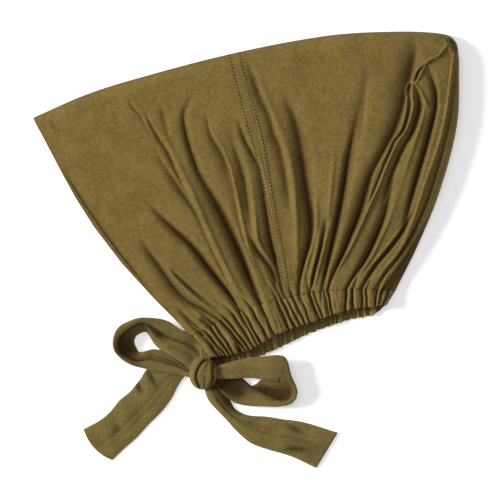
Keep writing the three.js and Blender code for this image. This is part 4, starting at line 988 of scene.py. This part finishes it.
# Shaded insides of the ties: u, a, length in u, length in a, how dark
TIE_SHADES = {
    "bow_loop_left": [(0.54, 0.35, 0.13, 0.7, 0.95), (0.25, 0.12, 0.045, 0.28, 1.0),
                      (0.36, 0.3, 0.08, 0.4, 0.2), (0.93, 0.6, 0.12, 0.4, 0.4)],
    "bow_loop_right": [(0.6, 0.25, 0.12, 0.5, 0.75), (0.96, 0.3, 0.13, 1.4, 0.9),
                       (0.8, 0.9, 0.12, 0.5, 0.7), (0.94, 0.6, 0.1, 0.9, 0.9),
                       (0.64, 0.6, 0.07, 0.5, 0.7), (0.42, -0.1, 0.12, 1.4, 0.45)],
    "tie_tail_left": [(0.1, 0, 0.1, 1.2, 0.25)],
    "tie_tail_right": [(0.2, 0.75, 0.2, 0.6, 1.0), (0.02, 0, 0.1, 1.5, 0.5)],
}


def ribbon(name, edge, line, inner, fold, creases, shades, seed, side_steps=27):
    """A flattened tube between two edge curves and a line along its middle: each section is the
    parabola through the three, and the two faces lie half the thickness to either side of it along
    its normal, with rounded edges. A dip along the middle line, the slanting creases (fading with
    distance) and a slight unevenness move both faces together, and a seam thickens the edges."""
    a = np.sin(np.linspace(-1, 1, side_steps) * math.pi / 2)
    share = a[None, :, None]
    middle = (edge[:, None] * (share * share - share) / 2 + line[:, None] * (1 - share * share)
              + inner[:, None] * (share * share + share) / 2)
    along = np.gradient(middle, axis=0)
    across = np.stack([np.gradient(middle[..., k], a, axis=1) for k in range(3)], axis=-1)
    up = np.cross(along, across)
    up /= np.maximum(np.linalg.norm(up, axis=-1, keepdims=True), 1e-12)
    up *= np.sign(up[..., 2].mean())
    u = np.linspace(0, 1, len(middle))[:, None]
    rim = (1 - np.abs(a) ** 5) ** 0.5
    ends = ease(0, 0.04, u) * (1 - ease(0.96, 1, u))
    dip = fold * MM * np.exp(-np.abs(a / 0.09) ** 1.5)[None, :] * ends
    for at, side, long, broad, slant, deep in creases:
        du, da = u - at, a[None, :] - side
        away = (da - slant * du / max(long, 0.02) * broad) / broad
        dip += deep * MM * np.exp(-(du / long) ** 2) * np.exp(-np.abs(away) ** 1.6)
    reach = np.cumsum(np.linalg.norm(np.gradient(line, axis=0), axis=1))[:, None]
    uneven = 0.5 * MM * waves(reach, a[None, :] * 15 * MM, 20 * MM, seed) * (1 - a[None, :] ** 4)
    seam = 0.3 * MM * np.exp(-((1 - np.abs(a)) / 0.1) ** 2)[None, :]
    layers, uvs = [], []
    for face in (1, -1):
        order = slice(None, None, -1) if face > 0 else slice(None)
        off = uneven - dip + face * (0.5 * TIE_THICK * rim[None, :] + seam * rim[None, :])
        layers.append((middle + up * off[..., None])[:, order])
        flat = np.stack(np.broadcast_arrays(a[None, :] * TIE_WIDTH / 2, reach), axis=-1)
        uvs.append(flat[:, order])
    points, uv = np.concatenate(layers, axis=1), np.concatenate(uvs, axis=1)
    points[..., 2] = np.maximum(points[..., 2], 0.1 * MM)
    index = np.arange(points.shape[0] * points.shape[1]).reshape(points.shape[:2])
    faces = outwards(points, tube_faces(index))
    # Painted shading of the tie: a painted highlight along the edges, painted shade down in the dips and
    # creases and on the shaded insides.
    painted_rim_highlight = 0.35 * np.exp(-((1 - np.abs(a)) / 0.07) ** 2)[None, :] + 0 * u
    tone = np.clip(dip / (1.2 * MM), 0, 1) * 0.8 - painted_rim_highlight
    for at, side, long, broad, dark in shades:
        du, da = (u - at) / long, (a[None, :] - side) / broad
        tone = tone + dark * np.exp(-np.abs(du) ** 3 - np.abs(da) ** 3)
    # A painted dark line of shade along the very edges.
    tone = np.clip(tone + 0.5 * (np.abs(a) > 0.985)[None, :], -1, 1)
    crease = np.concatenate([tone[:, ::-1], tone], axis=1)
    return make_piece(name, points, [faces], TIE_JERSEY, uv, {"crease": crease})


def knot_share(z):
    """Width of the knot at a height as a share of its width at the middle: the fourth root of 1 minus
    the square of the height's distance from the middle, in halves of the knot's height."""
    level = np.clip(z / KNOT_HEIGHT, 0, 1) * 2 - 1
    return (1 - level * level) ** 0.25


def bow_piece(node):
    """A loop or tail: a ribbon between the curves of its table, whose edges are spread from its
    middle line by its share of their distance."""
    rows, fold, spread, seed, steps = BOW[node]
    u = np.linspace(0, 1, steps)
    numbered = [(k / (len(rows) - 1), *row) for k, row in enumerate(rows)]
    columns = np.stack([follow(numbered, k, u) for k in range(1, 10)], axis=-1) * MM
    edge, line, inner = np.split(columns, 3, axis=1)
    spread = spread * ease(0.1, 0.3, u)[:, None]
    edge, inner = (side + spread * (side - line) for side in (edge, inner))
    base = np.array([KNOT[0], KNOT[1], -TIE_THICK / 2])
    creases, shades = TIE_CREASES[node], TIE_SHADES[node]
    return ribbon(f"{node}_cloth", edge + base, line + base, inner + base, fold, creases, shades, seed)


def tie_neck(node, high, inside, half, shift, dark):
    """A neck of the tie: a short strap from the casing's end down into the knot, given by its height
    at the knot, how far short of the knot's middle it ends, its half width, how far it lies to the
    back, all in mm, and the strength of the painted shade over it."""
    low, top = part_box(node)
    u = np.linspace(0, 1, 30)
    x = (low.x + top.x) / 2 + (KNOT[0] - (low.x + top.x) / 2) * u + shift * MM
    y = top.y + 3 * MM + (KNOT[1] + inside * MM - top.y - 3 * MM) * u
    z = top.z - TIE_THICK / 2 + (high * MM - top.z + TIE_THICK / 2) * u
    half = (half - 0.9 * np.sin(math.pi * u)) * MM
    edge, line, inner = (np.stack([x + side * half, y, z + lift * MM], axis=-1)
                         for side, lift in ((-1, -0.6), (0, 0.5), (1, -0.6)))
    creases = [(0.5, -0.35, 0.5, 0.16, 0.2, 1.0), (0.5, 0.4, 0.5, 0.16, -0.1, 0.9)]
    # Painted shade over the whole strap, of the given strength.
    shades = [(0.5, 0, 2, 2, dark)]
    return ribbon(f"{node}_cloth", edge, line, inner, 0, creases, shades, 31, side_steps=16)


# Grooves of the knot seen from above, in mm from its middle: points of the line, depth and half width
KNOT_GROOVES = [
    ([(3.5, 12.5), (-1.5, 8.5), (-4.5, 3.5), (-6, -1.5), (-5.4, -7.2), (-3, -12)], 2.6, 1.1),
    ([(9.5, 10), (8.4, 3), (8.4, -5), (6.5, -11)], 2.0, 1.2),
    ([(5, 12), (2.5, 4), (1.8, -4), (1.5, -11)], 0.7, 1.2),
]


def bow_knot():
    """The knot: a barrel of rings with three shallow twisted lobes, whose top is grooved where the
    tie wraps over itself. Each groove is a dip that falls off as e to the minus square of the
    distance from its line over its half width."""
    turns, bands = 96, 56
    turn = np.linspace(0, 2 * math.pi, turns, endpoint=False)[:, None]
    rise = (np.linspace(-0.5, 0.5, bands) * math.pi)[None, :]
    z = KNOT_HEIGHT / 2 * np.sin(rise)
    ring = knot_share(z + KNOT_HEIGHT / 2) * (1 - 0.05 * (0.5 - 0.5 * np.cos(3 * turn + 2.2 * rise)))
    x = KNOT_WIDTH / 2 * ring * np.cos(turn)
    y = KNOT_LENGTH / 2 * ring * np.sin(turn)
    z = z + 0 * x
    dip = np.zeros(x.shape)
    for line, deep, half in KNOT_GROOVES:
        _, px, py = drawn_line(line, 60)
        away = np.sqrt(((x[..., None] - px) ** 2 + (y[..., None] - py) ** 2).min(axis=-1))
        dip += deep * MM * np.exp(-(away / (half * MM)) ** 2)
    top = ease(-0.2, 0.35, np.sin(rise)) + 0 * x
    inward = 1 - 0.35 * dip / (KNOT_WIDTH / 2) * top
    points = np.stack([x * inward, y * inward, z - dip * top], axis=-1) + KNOT + KNOT_SHIFT
    index = np.arange(turns * bands).reshape(turns, bands)
    around = np.concatenate([index, index[:1]], axis=0)
    low, high = around[:, 1], around[:, -2]
    poles = [np.stack([np.full(turns, index[0, 0]), low[1:], low[:-1]], axis=-1),
             np.stack([np.full(turns, index[0, -1]), high[:-1], high[1:]], axis=-1)]
    uv = np.stack(np.broadcast_arrays(turn * KNOT_WIDTH / 2, rise * KNOT_HEIGHT / 2), axis=-1)
    # Painted shade down in the grooves.
    crease = np.clip(dip * top / (2 * MM), 0, 1) * 0.8
    faces = [grid_faces(around[:, 1:-1]), *poles]
    return make_piece("bow_knot_cloth", points, faces, TIE_JERSEY, uv, {"crease": crease})


# The pieces and what they stand for
pieces = {
    "front_panel": front_panel(),
    "back_panel": back_panel(),
    "nape_casing": nape_casing(),
    **{node: bow_piece(node) for node in BOW},
    "tie_neck_near": tie_neck("tie_neck_near", 12, 10.3, 4.8, 0, 0),
    # The far neck is a wide strap darkened with painted shade, filling the shaded gap below the casing's
    # end.
    "tie_neck_far": tie_neck("tie_neck_far", 4, 0, 13, 10, 0.8),
    "bow_knot": bow_knot(),
}
for node, piece in pieces.items():
    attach(piece, "root")
    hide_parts(node)
seam = seam_stitches()
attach(seam, "root")

# Floor, light and camera


def stage_floor():
    """A wide plain sheet of white under the cap."""
    half, level = 3.0, -0.2 * MM
    corners = [(-half, -half, level), (half, -half, level), (half, half, level), (-half, half, level)]
    mesh = bpy.data.meshes.new("floor")
    mesh.from_pydata(corners, [], [(0, 1, 2, 3)])
    material, add = nodes_of("floor white")
    surface(add, Base_Color=(0.93, 0.93, 0.935, 1), Roughness=0.9, Specular_IOR_Level=0.1,
            Emission_Color=(1, 1, 1, 1), Emission_Strength=0.40)
    mesh.materials.append(material)
    floor = bpy.data.objects.new("floor", mesh)
    bpy.context.scene.collection.objects.link(floor)


def soft_light(name, place, size, power, colour):
    """A square light of the given size that faces the cap."""
    lamp = bpy.data.lights.new(name, "AREA")
    lamp.size, lamp.energy, lamp.color = size, power, colour
    light = bpy.data.objects.new(name, lamp)
    light.location = place
    light.rotation_mode = "QUATERNION"
    direction = -light.location
    light.rotation_quaternion = direction.to_track_quat("-Z", "Y")
    bpy.context.scene.collection.objects.link(light)


def stage_world():
    """Pale even surroundings."""
    world = bpy.data.worlds.new("surroundings")
    world.use_nodes = True
    background = world.node_tree.nodes["Background"]
    background.inputs["Color"].default_value = (0.95, 0.96, 1.0, 1)
    background.inputs["Strength"].default_value = 0.22
    bpy.context.scene.world = world


PIXEL = 0.85 * MM
PICTURE = 500
SENSOR = 36
CAMERA_HEIGHT = 6.0
CLOTH_LEVEL = 8 * MM


def stage_camera():
    """Straight above the cap, so that a pixel of the square picture is 0.85 mm at the cloth's level."""
    lens = bpy.data.cameras.new("camera")
    lens.sensor_width = SENSOR
    lens.lens = SENSOR * (CAMERA_HEIGHT - CLOTH_LEVEL) / (PICTURE * PIXEL)
    camera = bpy.data.objects.new("camera", lens)
    camera.location = (3.5 * PIXEL, -1 * PIXEL, CAMERA_HEIGHT)
    bpy.context.scene.collection.objects.link(camera)
    bpy.context.scene.camera = camera


stage_floor()
soft_light("key light", (-3.9, 0.5, 2.5), 1.15, 232, (1.0, 0.985, 0.95))
soft_light("top light", (-0.3, 0.3, 2.2), 1.4, 12, (1.0, 1.0, 1.0))
stage_world()
stage_camera()
bpy.context.scene.view_settings.view_transform = "Standard"

bpy.context.view_layer.update()
